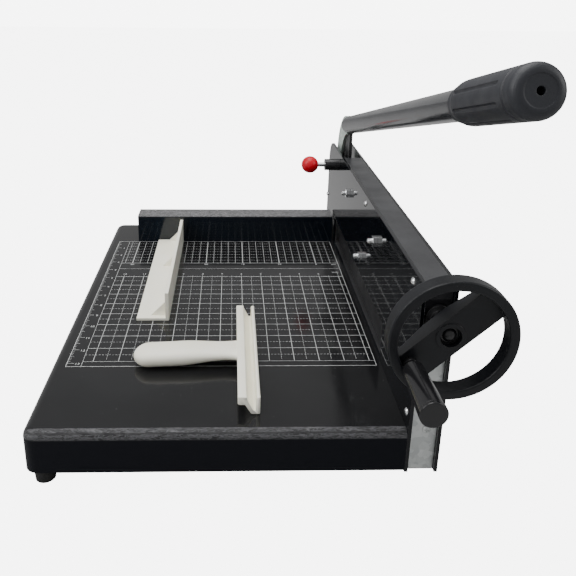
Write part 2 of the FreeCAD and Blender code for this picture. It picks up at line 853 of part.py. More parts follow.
def grip_flute_cutters():
    """Narrow round-ended lengthwise grooves spaced evenly round the grip."""
    x = tube_centre_x()
    first = grip_start + 17.0
    last = grip_start + grip_length - 9.0
    centre = vec(x, *along_tube(first))
    axis = lever_axis()
    cutters = []
    reach = grip_radius + grip_flute_radius - grip_flute_depth
    base = vec(x, *along_tube(first, reach))
    tip = vec(x, *along_tube(last, reach))
    for index in range(grip_flutes):
        flute = Part.makeCylinder(grip_flute_radius, last - first, base, axis)
        ends = [Part.makeSphere(grip_flute_radius, base), Part.makeSphere(grip_flute_radius, tip)]
        flute = flute.fuse(ends)
        flute.rotate(centre, axis, 360.0 * (index + 0.5) / grip_flutes)
        cutters.append(flute)
    return cutters


def grip_end_cap():
    """The rounded cap past the seam, with a shallow round recess and a centre hole."""
    start = grip_start + grip_length + grip_seam
    end = grip_start + grip_length + grip_cap_length
    bore = tube_radius
    deep = tube_length + 0.5
    face = grip_radius - grip_cap_round
    outline = [(start, bore), (start, grip_radius - 0.8), (start + 0.8, grip_radius), (end - grip_cap_round, grip_radius)]
    for step in range(1, 9):
        turn = math.pi / 2 * step / 8
        outline.append((end - grip_cap_round * (1 - math.sin(turn)), face + grip_cap_round * math.cos(turn)))
    outline += [(end, face - 0.6), (end - 0.25, face - 1.0), (end - 0.25, end_hole_radius),
                (deep, end_hole_radius), (deep, bore)]
    return revolve_on_tube(outline)


def drive_pin():
    """The pin pressed across the arm that carries the drive roller."""
    return rod_x(drive_y, drive_z, drive_pin_radius, arm_left_face, carrier_right + 0.3)


def drive_roller():
    """The roller that runs in the carrier's level slot."""
    roller = rod_x(drive_y, drive_z, drive_roller_radius, carrier_left + 0.1, carrier_right - 0.1)
    return roller.cut(rod_x(drive_y, drive_z, drive_pin_radius, carrier_left - 1, carrier_right + 1))


def pivot_bush():
    """The bronze bush in the arm."""
    x0 = arm_left_face - 0.3
    x1 = arm_right_face + 0.3
    bush = rod_x(pivot_y, pivot_z, bush_radius(), x0, x1)
    return bush.cut(rod_x(pivot_y, pivot_z, pivot_radius + running_gap, x0 - 1, x1 + 1))


def pivot_shaft():
    """The shaft welded inside the table-side plate, threaded where it leaves the other plate."""
    return rod_x(pivot_y, pivot_z, pivot_radius, -inner, half_frame + 13.0)


def pivot_spacers():
    """Two rings that keep the arm in place on its shaft."""
    left = rod_x(pivot_y, pivot_z, bush_radius(), -inner, arm_left_face - 0.5)
    right = rod_x(pivot_y, pivot_z, bush_radius(), arm_right_face + 0.5, inner)
    bore = rod_x(pivot_y, pivot_z, pivot_radius, -inner - 1, inner + 1)
    return Part.makeCompound([left.cut(bore), right.cut(bore)])


def pivot_nut():
    """The washer and lock nut on the pivot shaft."""
    washer = rod_x(pivot_y, pivot_z, pivot_radius * 1.9, half_frame, half_frame + 2.0)
    nut = hex_x(pivot_y, pivot_z, 21.0, half_frame + 2.0, half_frame + 11.0)
    return washer.fuse(nut).cut(rod_x(pivot_y, pivot_z, pivot_radius, half_frame - 1, half_frame + 14.0))


# ---------------------------------------------------------------- lock
def lock_spigot_radius():
    return lock_bush_radius - 2.0


def lock_bush_end():
    return -half_frame - lock_bush_length


def lock_bush():
    """The black bush that guides the lock pin, bored out for the spring, with a spigot in the plate."""
    barrel = rod_x(lock_y, lock_z, lock_bush_radius, lock_bush_end(), -half_frame)
    spigot = rod_x(lock_y, lock_z, lock_spigot_radius(), -half_frame, -inner)
    bore = rod_x(lock_y, lock_z, lock_pin_radius + running_gap, lock_bush_end() - 1, -inner + 1)
    pocket = rod_x(lock_y, lock_z, lock_bush_radius - 2.5, lock_bush_end() + 3.0, -half_frame - 1.0)
    return drill(barrel.fuse(spigot), [bore, pocket])


def lock_tip():
    """The pin's inner end when it is pulled clear of the lever."""
    return arm_left_face + arm_plate - lock_tip_gap - arm_plate


def lock_pin():
    """The chromed pin, pulled out: it carries a collar for its spring."""
    pin = rod_x(lock_y, lock_z, lock_pin_radius, lock_bush_end() - lock_knob_reach, lock_tip())
    collar_x = -half_frame - 1.5 - lock_travel
    collar = rod_x(lock_y, lock_z, lock_bush_radius - 3.0, collar_x - 2.0, collar_x)
    return pin.fuse(collar)


def lock_spring():
    """The spring that drives the pin home, drawn closed up behind the collar."""
    x0 = lock_bush_end() + 3.2
    x1 = -half_frame - 1.5 - lock_travel - 2.2
    tube = rod_x(lock_y, lock_z, lock_bush_radius - 3.0, x0, x1)
    return tube.cut(rod_x(lock_y, lock_z, lock_pin_radius + 0.8, x0 - 1, x1 + 1))


def lock_knob():
    """The ball on the end of the lock pin."""
    centre = vec(lock_bush_end() - lock_knob_reach, lock_y, lock_z)
    ball = Part.makeSphere(lock_knob_radius, centre)
    return ball.cut(rod_x(lock_y, lock_z, lock_pin_radius, centre.x, 0))


# ---------------------------------------------------------------- clamp
def clamp_bar():
    """The pressing bar beside the blade, with two ears for its lift pins and a slot for its guide bolt."""
    low = clamp_rest_gap
    front = -(cut_length - clamp_end_gap)
    back = -clamp_end_gap
    bar = block(clamp_left, clamp_right, front, back, low, low + clamp_bar_height)
    ear_top = lift_pin_height + lift_pin_radius + 5.0
    near, far = lift_pin_positions
    ears = [block(clamp_left, clamp_right, near - 12.0, near + 12.0, low, ear_top),
            block(clamp_left, clamp_right, far - 12.0, clamp_guide_y + 12.0, low, ear_top)]
    shape = bar.fuse(ears).removeSplitter()
    slot = slot_x(clamp_guide_y, clamp_guide_z - clamp_rise, clamp_guide_y, clamp_guide_z,
                  clamp_guide_radius + running_gap, clamp_left - 1, clamp_right + 1)
    pins = [rod_x(y, lift_pin_height, lift_pin_radius, clamp_left - 1, clamp_right + 1) for y in lift_pin_positions]
    return drill(shape, [slot] + pins)


def clamp_lift_pins():
    """Pins pressed in the clamp's ears that the draw-bar lifts."""
    return Part.makeCompound([rod_x(y, lift_pin_height, lift_pin_radius, drawbar_left + 0.2, clamp_right)
                              for y in lift_pin_positions])


def clamp_guide_bolt():
    """The bolt that keeps the clamp upright, with its lock nut outside."""
    shank = rod_x(clamp_guide_y, clamp_guide_z, clamp_guide_radius, -half_frame - adjuster_reach, clamp_right)
    tip = dome(vec(-half_frame - adjuster_reach, clamp_guide_y, clamp_guide_z), -X_AXIS, clamp_guide_radius, 1.5)
    return shank.fuse(tip)


def drawbar():
    """The bar that the screw moves along the frame: slanted slots lift the clamp, level slots guide it."""
    x0 = drawbar_left
    x1 = drawbar_right
    low = drawbar_bottom
    top = drawbar_top
    outline = [(-drawbar_front, low), (-drawbar_back, low), (-drawbar_back, low + 21.0),
               (-drawbar_back - 30.0, top), (-drawbar_front, top)]
    bar = prism_x(outline, x0, x1)
    slots = [slot_x(y, lift_pin_height, y - clamp_rise, lift_pin_height + clamp_rise,
                    lift_pin_radius + running_gap, x0 - 1, x1 + 1) for y in lift_pin_positions]
    slots += [slot_x(y - clamp_rise, drawbar_screw_z, y, drawbar_screw_z, drawbar_screw_radius + running_gap,
                     x0 - 1, x1 + 1) for y in drawbar_screw_positions]
    return drill(bar, slots + drawbar_bolt_cutters())


def drawbar_bolt_cutters():
    """The two screws that hold the nut block on the draw-bar."""
    y = nut_front + nut_length / 2
    return [rod_x(y, z, nut_bolt_radius, drawbar_left, lead_screw_x)
            for z in (lead_screw_z - nut_bolt_rise, lead_screw_z + nut_bolt_rise)]


def drawbar_bolts():
    return Part.makeCompound(drawbar_bolt_cutters())


def drawbar_guide_screws():
    """Shoulder screws through the table-side plate that the draw-bar slides on."""
    screws = []
    for y in drawbar_screw_positions:
        shank = rod_x(y, drawbar_screw_z, drawbar_screw_radius, -half_frame - adjuster_reach, drawbar_right)
        tip = dome(vec(-half_frame - adjuster_reach, y, drawbar_screw_z), -X_AXIS, drawbar_screw_radius, 1.5)
        screws.append(shank.fuse(tip))
    return Part.makeCompound(screws)


def lock_nuts():
    """A hexagon nut on each screw that stands out of the table-side plate."""
    nuts = []
    places = [(y, drawbar_screw_z, drawbar_screw_radius, lock_nut_flats + 1.0) for y in drawbar_screw_positions]
    places.append((clamp_guide_y, clamp_guide_z, clamp_guide_radius, lock_nut_flats))
    for y, z, radius, flats in places:
        nut = hex_x(y, z, flats, -half_frame - lock_nut_height, -half_frame)
        nuts.append(nut.cut(rod_x(y, z, radius, -half_frame - lock_nut_height - 1, -half_frame + 1)))
    return Part.makeCompound(nuts)


def drawbar_nut():
    """The bronze nut block that the lead screw turns in."""
    body = block(drawbar_right, nut_right, nut_front, nut_front + nut_length,
                 lead_screw_z - nut_half_height, lead_screw_z + nut_half_height)
    bore = rod_y(lead_screw_x, lead_screw_z, lead_screw_radius + running_gap, nut_front - 1,
                 nut_front + nut_length + 1)
    return drill(body, [bore] + drawbar_bolt_cutters())


def bush_outer_radius():
    return lead_screw_radius + bearing_bush_wall


def screw_bearing_plate():
    """The thick plate behind the end panel that carries the screw's bush."""
    plate = block(-inner, inner, bearing_front, bearing_back, lead_screw_z - 16.0, under_cover())
    return plate.cut(rod_y(lead_screw_x, lead_screw_z, bush_outer_radius(), bearing_front - 1, bearing_back + 1))


def bearing_bush():
    """The flanged bush that the screw turns in."""
    barrel = rod_y(lead_screw_x, lead_screw_z, bush_outer_radius(), panel_y, bearing_back)
    flange = rod_y(lead_screw_x, lead_screw_z, bearing_flange_radius, panel_y - bearing_flange, panel_y)
    bore = rod_y(lead_screw_x, lead_screw_z, lead_screw_radius + running_gap, panel_y - bearing_flange - 1,
                 bearing_back + 1)
    return barrel.fuse(flange).cut(bore)


def lead_screw():
    """The clamp screw, with a thrust collar behind its bearing."""
    shaft = rod_y(lead_screw_x, lead_screw_z, lead_screw_radius, hub_seat + hub_washer, lead_screw_back)
    collar = rod_y(lead_screw_x, lead_screw_z, bush_outer_radius(), bearing_back + 0.1, bearing_back + 1.6)
    return shaft.fuse(collar)


# ---------------------------------------------------------------- handwheel
def handwheel():
    """A rim, one wide web across it that thickens to the back, and a hub on the screw's end."""
    x = lead_screw_x
    z = lead_screw_z
    rim_back = -wheel_back - 1.0
    rim = rod_y(x, z, wheel_radius, rim_back - wheel_rim_depth, rim_back)
    rim = rim.cut(rod_y(x, z, wheel_radius - wheel_rim_width, rim_back - wheel_rim_depth - 1, rim_back + 1))
    rim = rim.makeFillet(1.6, [edge for edge in rim.Edges if isinstance(edge.Curve, Part.Circle)])
    hub = rod_y(x, z, wheel_hub_radius, -wheel_back, -wheel_back + wheel_hub_length)
    ring = rod_y(x, z, wheel_hub_radius, -wheel_front - 0.8, -wheel_front)
    shape = rim.fuse([wheel_web(), hub, ring]).removeSplitter()
    recess = rod_y(x, z, hub_recess_radius, -wheel_front - 1, hub_seat)
    crank_room = rod_y(crank_x, crank_z, crank_collar_radius + 0.3, rim_back - wheel_rim_depth - 1, -wheel_front)
    return drill(shape, [rod_y(x, z, lead_screw_radius, hub_seat + hub_washer, 0), recess, crank_room,
                         hub_bolt_shape(),
                         rod_y(crank_x, crank_z, crank_pin_radius, -wheel_front - 1, -wheel_back + 1)])


def wheel_web():
    """The flat-fronted bar across the wheel, thicker behind its middle."""
    x = lead_screw_x
    z = lead_screw_z
    back = -wheel_back + wheel_web_bulge
    low = z - wheel_web_width / 2
    outline = [(x - wheel_radius, -wheel_front), (x + wheel_radius, -wheel_front), (x + wheel_radius, -wheel_back),
               (x + wheel_hub_radius, back), (x - wheel_hub_radius, back), (x - wheel_radius, -wheel_back)]
    corners = [vec(px, py, low) for px, py in outline]
    web = Part.Face(Part.makePolygon(corners + corners[:1])).extrude(vec(0, 0, wheel_web_width))
    web = web.common(rod_y(x, z, wheel_radius - wheel_rim_width / 2, -wheel_front - 1, back + 1))
    web.rotate(vec(x, 0, z), Y_AXIS, -wheel_web_angle)
    return web


def hub_bolt_shape():
    """The dome-head bolt in the end of the screw, on its washer in the hub's recess."""
    x = lead_screw_x
    z = lead_screw_z
    shank = rod_y(x, z, 3.0, hub_seat, hub_seat + hub_washer)
    washer = rod_y(x, z, hub_bolt_radius + 1.2, hub_seat - hub_washer, hub_seat)
    head = dome(vec(x, hub_seat - hub_washer, z), -Y_AXIS, hub_bolt_radius, hub_bolt_height)
    return shank.fuse([washer, head])


def crank_pin():
    """The pin riveted in the web that the crank knob turns on, with its waisted collar."""
    knob_end = -wheel_front - crank_collar_length - crank_knob_length
    pin = rod_y(crank_x, crank_z, crank_pin_radius, knob_end + 6.0, -wheel_back)
    foot = rod_y(crank_x, crank_z, crank_collar_radius, -wheel_front - crank_collar_length * 0.5, -wheel_front)
    neck = rod_y(crank_x, crank_z, crank_neck_radius, -wheel_front - crank_collar_length * 0.7, -wheel_front)
    ring = rod_y(crank_x, crank_z, crank_collar_radius - 0.6, -wheel_front - crank_collar_length,
                 -wheel_front - crank_collar_length * 0.7)
    return pin.fuse([foot, neck, ring])


def crank_knob():
    """The sleeve that turns on the crank pin, slightly thicker towards its end."""
    base = -wheel_front - crank_collar_length - 0.5
    end = base - crank_knob_length + 0.5 + crank_cap_length
    sleeve = cone_y(crank_x, crank_z, crank_knob_end_radius, crank_knob_base_radius, end, base)
    bore = rod_y(crank_x, crank_z, crank_pin_radius + running_gap, end - 1, base + 1)
    return sleeve.cut(bore)


def crank_knob_cap():
    """The round cap pressed in the end of the crank knob."""
    end = -wheel_front - crank_collar_length - crank_knob_length
    cap = rod_y(crank_x, crank_z, crank_knob_end_radius, end, end + crank_cap_length)
    cap = fillet_where(cap, 0.8, lambda e: isinstance(e.Curve, Part.Circle) and e.CenterOfMass.y < end + 0.1)
    return cap


# ---------------------------------------------------------------- loose pieces
def paper_stop():
    """An L-section stop with three gussets, lying against the fence."""
    left = stop_right - stop_width
    back = -stop_fence_gap
    front = back - stop_length
    base = loose_gap
    flange = block(left, stop_right, front, back, base, base + stop_flange)
    wall = block(stop_right - stop_wall, stop_right, front, back, base, base + stop_height)
    gussets = []
    foot = base + stop_flange - 0.5
    side = stop_right - stop_wall + 0.5
    for y in (front + 9.0, (front + back) / 2 + 26.0, back - 3.5):
        corners = [(side, foot), (side - stop_gusset, foot), (side, foot + stop_gusset)]
        gussets.append(prism_y(corners, y - stop_gusset_thickness / 2, y + stop_gusset_thickness / 2))
    return flange.fuse([wall] + gussets).removeSplitter()


def pusher_section():
    """The head bar's stepped section in (x, z): a thick top, a sloping web, and a foot with a lip."""
    right = pusher_right
    left = right - pusher_foot_width
    top = pusher_top
    under = pusher_top - pusher_top_thickness
    base = loose_gap
    step = left + pusher_top_width
    return [(left, under), (left, top), (step, top), (right - pusher_lip - 2.0, base + 3.0),
            (right - pusher_lip, base + 3.0), (right - pusher_lip, pusher_lip_height), (right, pusher_lip_height),
            (right, base), (right - pusher_lip - 4.5, base), (step - 2.0, under)]


def ellipse_wire(x, y, z, half_width, half_height):
    """An ellipse across X."""
    centre = vec(x, y, z)
    curve = Part.Ellipse(vec(x, y + half_width, z), vec(x, y, z + half_height), centre)
    return Part.Wire([curve.toShape()])


def paper_pusher():
    """The pusher: a stepped head bar with a rounded palm handle."""
    head = prism_y(pusher_section(), pusher_front, pusher_front + pusher_length)
    join = pusher_right - pusher_foot_width + 5.0
    wide = pusher_handle_half_width
    high = pusher_handle_half_height
    reach = pusher_handle_length
    stations = [(0.0, 0.10, 0.10), (0.015, 0.42, 0.42), (0.06, 0.74, 0.76), (0.14, 0.95, 0.96), (0.26, 1.0, 1.0),
                (0.55, 1.0, 0.98), (0.80, 0.86, 0.80), (1.0, 0.92, 0.44)]
    wires = []
    for share, width_share, height_share in stations:
        x = join - reach + share * reach
        rise = (pusher_top - pusher_top_thickness / 2 - loose_gap - high - 0.4) * share
        z = loose_gap + 0.4 + high + rise
        wires.append(ellipse_wire(x, pusher_handle_y, z, wide * width_share, high * height_share))
    handle = Part.makeLoft(wires, True, False)
    return head.fuse(handle).removeSplitter()


# ---------------------------------------------------------------- export
def with_fence_holes():
    return drill(table_body(), fence_screw_holes())


NODES = {
    "table": with_fence_holes,
    "table_ribs": table_ribs,
    "rubber_feet": rubber_feet,
    "foot_screws": foot_screws,
    "frame_foot_plates": frame_foot_plates,
    "back_fence": back_fence,
    "fence_screws": fence_screws,
    "left_side_plate": left_side_plate,
    "right_side_plate": right_side_plate,
    "frame_spacers": frame_spacers,
    "frame_bolts": frame_bolts,
    "small_screws": small_screws,
    "top_cover": top_cover,
    "front_end_panel": front_end_panel,
    "rear_panel": rear_panel,
    "bed_rail": bed_rail,
    "cutting_stick": cutting_stick,
    "blade": blade,
    "blade_bolts": blade_bolts,
    "blade_carrier": blade_carrier,
    "carrier_guide_bolts": carrier_guide_bolts,
    "carrier_wear_strips": carrier_wear_strips,
    "lever_arm_left": lever_arm_left,
    "lever_arm_right": lever_arm_right,
    "lock_sector": lock_sector,
    "lever_tube": lever_tube,
    "tube_pin": tube_pin_shape,
    "lever_grip": lever_grip,
    "grip_end_cap": grip_end_cap,
    "drive_pin": drive_pin,
    "drive_roller": drive_roller,
    "pivot_bush": pivot_bush,
    "pivot_shaft": pivot_shaft,
    "pivot_spacers": pivot_spacers,
    "pivot_nut": pivot_nut,
    "lock_bush": lock_bush,
    "lock_pin": lock_pin,
    "lock_spring": lock_spring,
    "lock_knob": lock_knob,
    "clamp_bar": clamp_bar,
    "clamp_lift_pins": clamp_lift_pins,
    "clamp_guide_bolt": clamp_guide_bolt,
    "drawbar": drawbar,
    "drawbar_bolts": drawbar_bolts,
    "drawbar_guide_screws": drawbar_guide_screws,
    "lock_nuts": lock_nuts,
    "drawbar_nut": drawbar_nut,
    "screw_bearing_plate": screw_bearing_plate,
    "bearing_bush": bearing_bush,
    "lead_screw": lead_screw,
    "handwheel": handwheel,
    "hub_bolt": hub_bolt_shape,
    "crank_pin": crank_pin,
    "crank_knob": crank_knob,
    "crank_knob_cap": crank_knob_cap,
    "paper_stop": paper_stop,
    "paper_pusher": paper_pusher,
}


def main():
    os.makedirs("parts", exist_ok=True)
    for name, make in NODES.items():
        shape = make()
        if not shape.isValid():
            print("invalid", name)
        shape.exportStep("parts/" + name + ".step")
    print("stroke of the blade", round(stroke, 3))


main()
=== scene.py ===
"""Looks of a guillotine stack paper cutter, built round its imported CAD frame.

Metres, +Z up. The zero corner, where the cutting line meets the fence face on the table's top, is the origin.
"""
import json
import math
import bpy
import numpy as np
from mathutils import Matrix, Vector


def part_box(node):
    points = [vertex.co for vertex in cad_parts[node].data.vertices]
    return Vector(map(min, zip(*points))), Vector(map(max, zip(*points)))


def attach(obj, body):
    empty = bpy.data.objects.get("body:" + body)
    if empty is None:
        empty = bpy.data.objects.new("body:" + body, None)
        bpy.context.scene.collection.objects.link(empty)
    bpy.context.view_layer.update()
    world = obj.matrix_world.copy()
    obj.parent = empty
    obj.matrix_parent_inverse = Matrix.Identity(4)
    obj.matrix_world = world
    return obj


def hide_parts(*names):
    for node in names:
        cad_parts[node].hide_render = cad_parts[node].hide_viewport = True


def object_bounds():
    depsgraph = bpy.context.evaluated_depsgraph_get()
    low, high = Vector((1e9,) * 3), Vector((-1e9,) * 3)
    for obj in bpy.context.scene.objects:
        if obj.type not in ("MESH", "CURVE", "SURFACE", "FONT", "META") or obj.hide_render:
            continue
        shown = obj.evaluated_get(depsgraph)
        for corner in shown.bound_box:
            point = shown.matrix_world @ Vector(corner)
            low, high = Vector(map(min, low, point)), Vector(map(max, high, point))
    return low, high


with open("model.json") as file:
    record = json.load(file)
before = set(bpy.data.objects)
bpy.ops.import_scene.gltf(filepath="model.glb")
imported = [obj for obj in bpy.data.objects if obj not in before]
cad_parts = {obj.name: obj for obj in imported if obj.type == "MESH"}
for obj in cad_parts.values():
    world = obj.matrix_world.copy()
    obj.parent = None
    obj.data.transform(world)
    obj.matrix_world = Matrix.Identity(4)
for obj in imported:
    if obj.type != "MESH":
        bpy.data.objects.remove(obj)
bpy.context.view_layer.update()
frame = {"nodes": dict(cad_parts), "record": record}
nodes_by_name = frame["nodes"]
MM = 0.001
INCH = 25.4
UP, DOWN, TO_OPERATOR = (0, 0, 1), (0, 0, -1), (0, -1, 0)


# ---------------------------------------------------------------- meshes from arrays
def mesh_object(name, points, faces, smooth):
    """An object at the origin from an (n, 3) array of points and a list of faces."""
    mesh = bpy.data.meshes.new(name)
    mesh.from_pydata(points.tolist(), [], faces)
    mesh.polygons.foreach_set("use_smooth", np.full(len(mesh.polygons), smooth))
    mesh.update()
    piece = bpy.data.objects.new(name, mesh)
    bpy.context.scene.collection.objects.link(piece)
    return piece


def grid_quads(rows, columns, wrap_columns=False):
    """The quads of a grid of points: each joins a point to its neighbours in the next row and column."""
    column = np.arange(columns if wrap_columns else columns - 1)
    r, c = np.meshgrid(np.arange(rows - 1), column, indexing="ij")
    here = r * columns + c
    right = r * columns + (c + 1) % columns
    above = here + columns
    corner = right + columns
    return np.stack([here, right, corner, above], axis=-1).reshape(-1, 4)


def thin_blocks(name, low, high):
    """One mesh of many small closed blocks, from arrays of their lowest and highest corners."""
    bits = np.array([[0, 0, 0], [1, 0, 0], [1, 1, 0], [0, 1, 0], [0, 0, 1], [1, 0, 1], [1, 1, 1], [0, 1, 1]])
    points = low[:, None, :] + bits[None] * (high - low)[:, None, :]
    quads = np.array([[0, 3, 2, 1], [4, 5, 6, 7], [0, 1, 5, 4], [1, 2, 6, 5], [2, 3, 7, 6], [3, 0, 4, 7]])
    faces = quads[None] + 8 * np.arange(len(low))[:, None, None]
    return mesh_object(name, points.reshape(-1, 3), faces.reshape(-1, 4).tolist(), smooth=False)


def closed_tube(name, points, smooth=True):
    """A closed skin from rings of points, an (n, m, 3) array: quads between rings and one flat face at each end."""
    rings, count, _ = points.shape
    faces = grid_quads(rings, count, wrap_columns=True).tolist()
    faces.append(list(range(count))[::-1])
    faces.append(list(range((rings - 1) * count, rings * count)))
    return mesh_object(name, points.reshape(-1, 3), faces, smooth)


# ---------------------------------------------------------------- shared shader groups
NOISE_RANGE = (0.32, 0.68)
EDGE_TURN = (0.98, 0.75)
CHIP_RANGE = (0.42, 0.62)
BEVEL_SAMPLES = 6
CRINKLE_SCALES = (1.0, 1.9)
CRINKLE_DETAIL = 3.0
CRINKLE_DISTORTION = 0.8
NOISE_MIDDLE = 0.5
RIDGE_REACH = 0.09
CREST_POWER = 2.0
SPECK_PATCH_SCALE = 30.0
SPECK_PATCH_FROM = 0.6


def add(tree, kind, **settings):
    """A node of a kind, with its plain settings."""
    node = tree.nodes.new(kind)
    for key, value in settings.items():
        setattr(node, key, value)
    return node


def new_group(name, inputs, outputs):
    """An empty shader group with named sockets."""
    group = bpy.data.node_groups.new(name, "ShaderNodeTree")
    for label, kind, value in inputs:
        socket = group.interface.new_socket(name=label, in_out="INPUT", socket_type=kind)
        socket.default_value = value
    for label, kind in outputs:
        group.interface.new_socket(name=label, in_out="OUTPUT", socket_type=kind)
    return group, add(group, "NodeGroupInput"), add(group, "NodeGroupOutput")


def cloud_group():
    """Soft cloudy noise on Object coordinates, stretched by a vector and spread between Low and High."""
    group, inside, out = new_group(
        "cloud", [("Scale", "NodeSocketFloat", 40.0), ("Stretch", "NodeSocketVector", (1, 1, 1)),
                  ("Detail", "NodeSocketFloat", 4.0), ("Low", "NodeSocketFloat", 0.0),
                  ("High", "NodeSocketFloat", 1.0)], [("Value", "NodeSocketFloat")])
    place = add(group, "ShaderNodeTexCoord")
    stretch = add(group, "ShaderNodeVectorMath", operation="MULTIPLY")
    noise = add(group, "ShaderNodeTexNoise")
    spread = add(group, "ShaderNodeMapRange")
    link = group.links.new
    link(place.outputs["Object"], stretch.inputs[0])
    link(inside.outputs["Stretch"], stretch.inputs[1])
    link(stretch.outputs["Vector"], noise.inputs["Vector"])
    link(inside.outputs["Scale"], noise.inputs["Scale"])
    link(inside.outputs["Detail"], noise.inputs["Detail"])
    link(noise.outputs["Fac"], spread.inputs["Value"])
    spread.inputs["From Min"].default_value, spread.inputs["From Max"].default_value = NOISE_RANGE
    link(inside.outputs["Low"], spread.inputs["To Min"])
    link(inside.outputs["High"], spread.inputs["To Max"])
    link(spread.outputs["Result"], out.inputs["Value"])
    return group


def band_group():
    """A smooth 0 to 1 step of one Object coordinate: 0 below From, 1 above To."""
    group, inside, out = new_group(
        "band", [("Axis", "NodeSocketVector", (0, 0, 1)), ("From", "NodeSocketFloat", 0.0),
                 ("To", "NodeSocketFloat", 0.001)], [("Mask", "NodeSocketFloat")])
    place = add(group, "ShaderNodeTexCoord")
    along = add(group, "ShaderNodeVectorMath", operation="DOT_PRODUCT")
    step = add(group, "ShaderNodeMapRange", interpolation_type="SMOOTHSTEP")
    link = group.links.new
    link(place.outputs["Object"], along.inputs[0])
    link(inside.outputs["Axis"], along.inputs[1])
    link(along.outputs["Value"], step.inputs["Value"])
    link(inside.outputs["From"], step.inputs["From Min"])
    link(inside.outputs["To"], step.inputs["From Max"])
    link(step.outputs["Result"], out.inputs["Mask"])
    return group


def soft_edge_group():
    """Rounds hard edges in shading, and marks them by how far the rounded normal turns from the flat one."""
    group, inside, out = new_group(
        "soft_edge", [("Radius", "NodeSocketFloat", 0.0005), ("Breakup", "NodeSocketFloat", 300.0)],
        [("Normal", "NodeSocketVector"), ("Worn", "NodeSocketFloat")])
    bevel = add(group, "ShaderNodeBevel", samples=BEVEL_SAMPLES)
    flat = add(group, "ShaderNodeNewGeometry")
    turn = add(group, "ShaderNodeVectorMath", operation="DOT_PRODUCT")
    amount = add(group, "ShaderNodeMapRange")
    place = add(group, "ShaderNodeTexCoord")
    noise = add(group, "ShaderNodeTexNoise")
    chips = add(group, "ShaderNodeMapRange")
    worn = add(group, "ShaderNodeMath", operation="MULTIPLY")
    link = group.links.new
    link(inside.outputs["Radius"], bevel.inputs["Radius"])
    link(bevel.outputs["Normal"], turn.inputs[0])
    link(flat.outputs["Normal"], turn.inputs[1])
    link(turn.outputs["Value"], amount.inputs["Value"])
    amount.inputs["From Min"].default_value, amount.inputs["From Max"].default_value = EDGE_TURN
    link(place.outputs["Object"], noise.inputs["Vector"])
    link(inside.outputs["Breakup"], noise.inputs["Scale"])
    link(noise.outputs["Fac"], chips.inputs["Value"])
    chips.inputs["From Min"].default_value, chips.inputs["From Max"].default_value = CHIP_RANGE
    link(amount.outputs["Result"], worn.inputs[0])
    link(chips.outputs["Result"], worn.inputs[1])
    link(bevel.outputs["Normal"], out.inputs["Normal"])
    link(worn.outputs["Value"], out.inputs["Worn"])
    return group


def crinkle_group():
    """Wrinkled paint: ridges where two stretched noises cross their middle value, as a height and a mask for a
    painted highlight on the ridges.
    """
    group, inside, out = new_group(
        "crinkle", [("Scale", "NodeSocketFloat", 260.0), ("Stretch", "NodeSocketVector", (0.45, 1, 1))],
        [("Height", "NodeSocketFloat"), ("Ridge Highlight", "NodeSocketFloat")])
    place = add(group, "ShaderNodeTexCoord")
    stretch = add(group, "ShaderNodeVectorMath", operation="MULTIPLY")
    link = group.links.new
    link(place.outputs["Object"], stretch.inputs[0])
    link(inside.outputs["Stretch"], stretch.inputs[1])
    ridges = []
    for share in CRINKLE_SCALES:
        scale = add(group, "ShaderNodeMath", operation="MULTIPLY")
        scale.inputs[1].default_value = share
        noise = add(group, "ShaderNodeTexNoise")
        noise.inputs["Detail"].default_value = CRINKLE_DETAIL
        noise.inputs["Distortion"].default_value = CRINKLE_DISTORTION
        middle = add(group, "ShaderNodeMath", operation="SUBTRACT")
        middle.inputs[1].default_value = NOISE_MIDDLE
        ridge = add(group, "ShaderNodeMath", operation="ABSOLUTE")
        link(inside.outputs["Scale"], scale.inputs[0])
        link(scale.outputs["Value"], noise.inputs["Scale"])
        link(stretch.outputs["Vector"], noise.inputs["Vector"])
        link(noise.outputs["Fac"], middle.inputs[0])
        link(middle.outputs["Value"], ridge.inputs[0])
        ridges.append(ridge)
    lowest = add(group, "ShaderNodeMath", operation="MINIMUM")
    height = add(group, "ShaderNodeMapRange")
    height.inputs["From Max"].default_value = RIDGE_REACH
    height.inputs["To Min"].default_value = 1.0
    height.inputs["To Max"].default_value = 0.0
    # The ridge mask, sharpened: where the painted highlight goes on the wrinkles.
    ridge_highlight = add(group, "ShaderNodeMath", operation="POWER")
    ridge_highlight.inputs[1].default_value = CREST_POWER
    link(ridges[0].outputs["Value"], lowest.inputs[0])
    link(ridges[1].outputs["Value"], lowest.inputs[1])
    link(lowest.outputs["Value"], height.inputs["Value"])
    link(height.outputs["Result"], ridge_highlight.inputs[0])
    link(height.outputs["Result"], out.inputs["Height"])
    link(ridge_highlight.outputs["Value"], out.inputs["Ridge Highlight"])
    return group


def speck_group():
    """Sparse dust specks: small dots at the middles of scattered cells, where a wider noise allows them."""
    group, inside, out = new_group(
        "specks", [("Scale", "NodeSocketFloat", 180.0), ("Size", "NodeSocketFloat", 0.09)],
        [("Mask", "NodeSocketFloat")])
    place = add(group, "ShaderNodeTexCoord")
    cells = add(group, "ShaderNodeTexVoronoi")
    dot = add(group, "ShaderNodeMath", operation="LESS_THAN")
    patches = add(group, "ShaderNodeTexNoise")
    patches.inputs["Scale"].default_value = SPECK_PATCH_SCALE
    some = add(group, "ShaderNodeMath", operation="GREATER_THAN")
    some.inputs[1].default_value = SPECK_PATCH_FROM
    both = add(group, "ShaderNodeMath", operation="MULTIPLY")
    link = group.links.new
    link(place.outputs["Object"], cells.inputs["Vector"])
    link(place.outputs["Object"], patches.inputs["Vector"])
    link(inside.outputs["Scale"], cells.inputs["Scale"])
    link(cells.outputs["Distance"], dot.inputs[0])
    link(inside.outputs["Size"], dot.inputs[1])
    link(patches.outputs["Fac"], some.inputs[0])
    link(dot.outputs["Value"], both.inputs[0])
    link(some.outputs["Value"], both.inputs[1])
    link(both.outputs["Value"], out.inputs["Mask"])
    return group


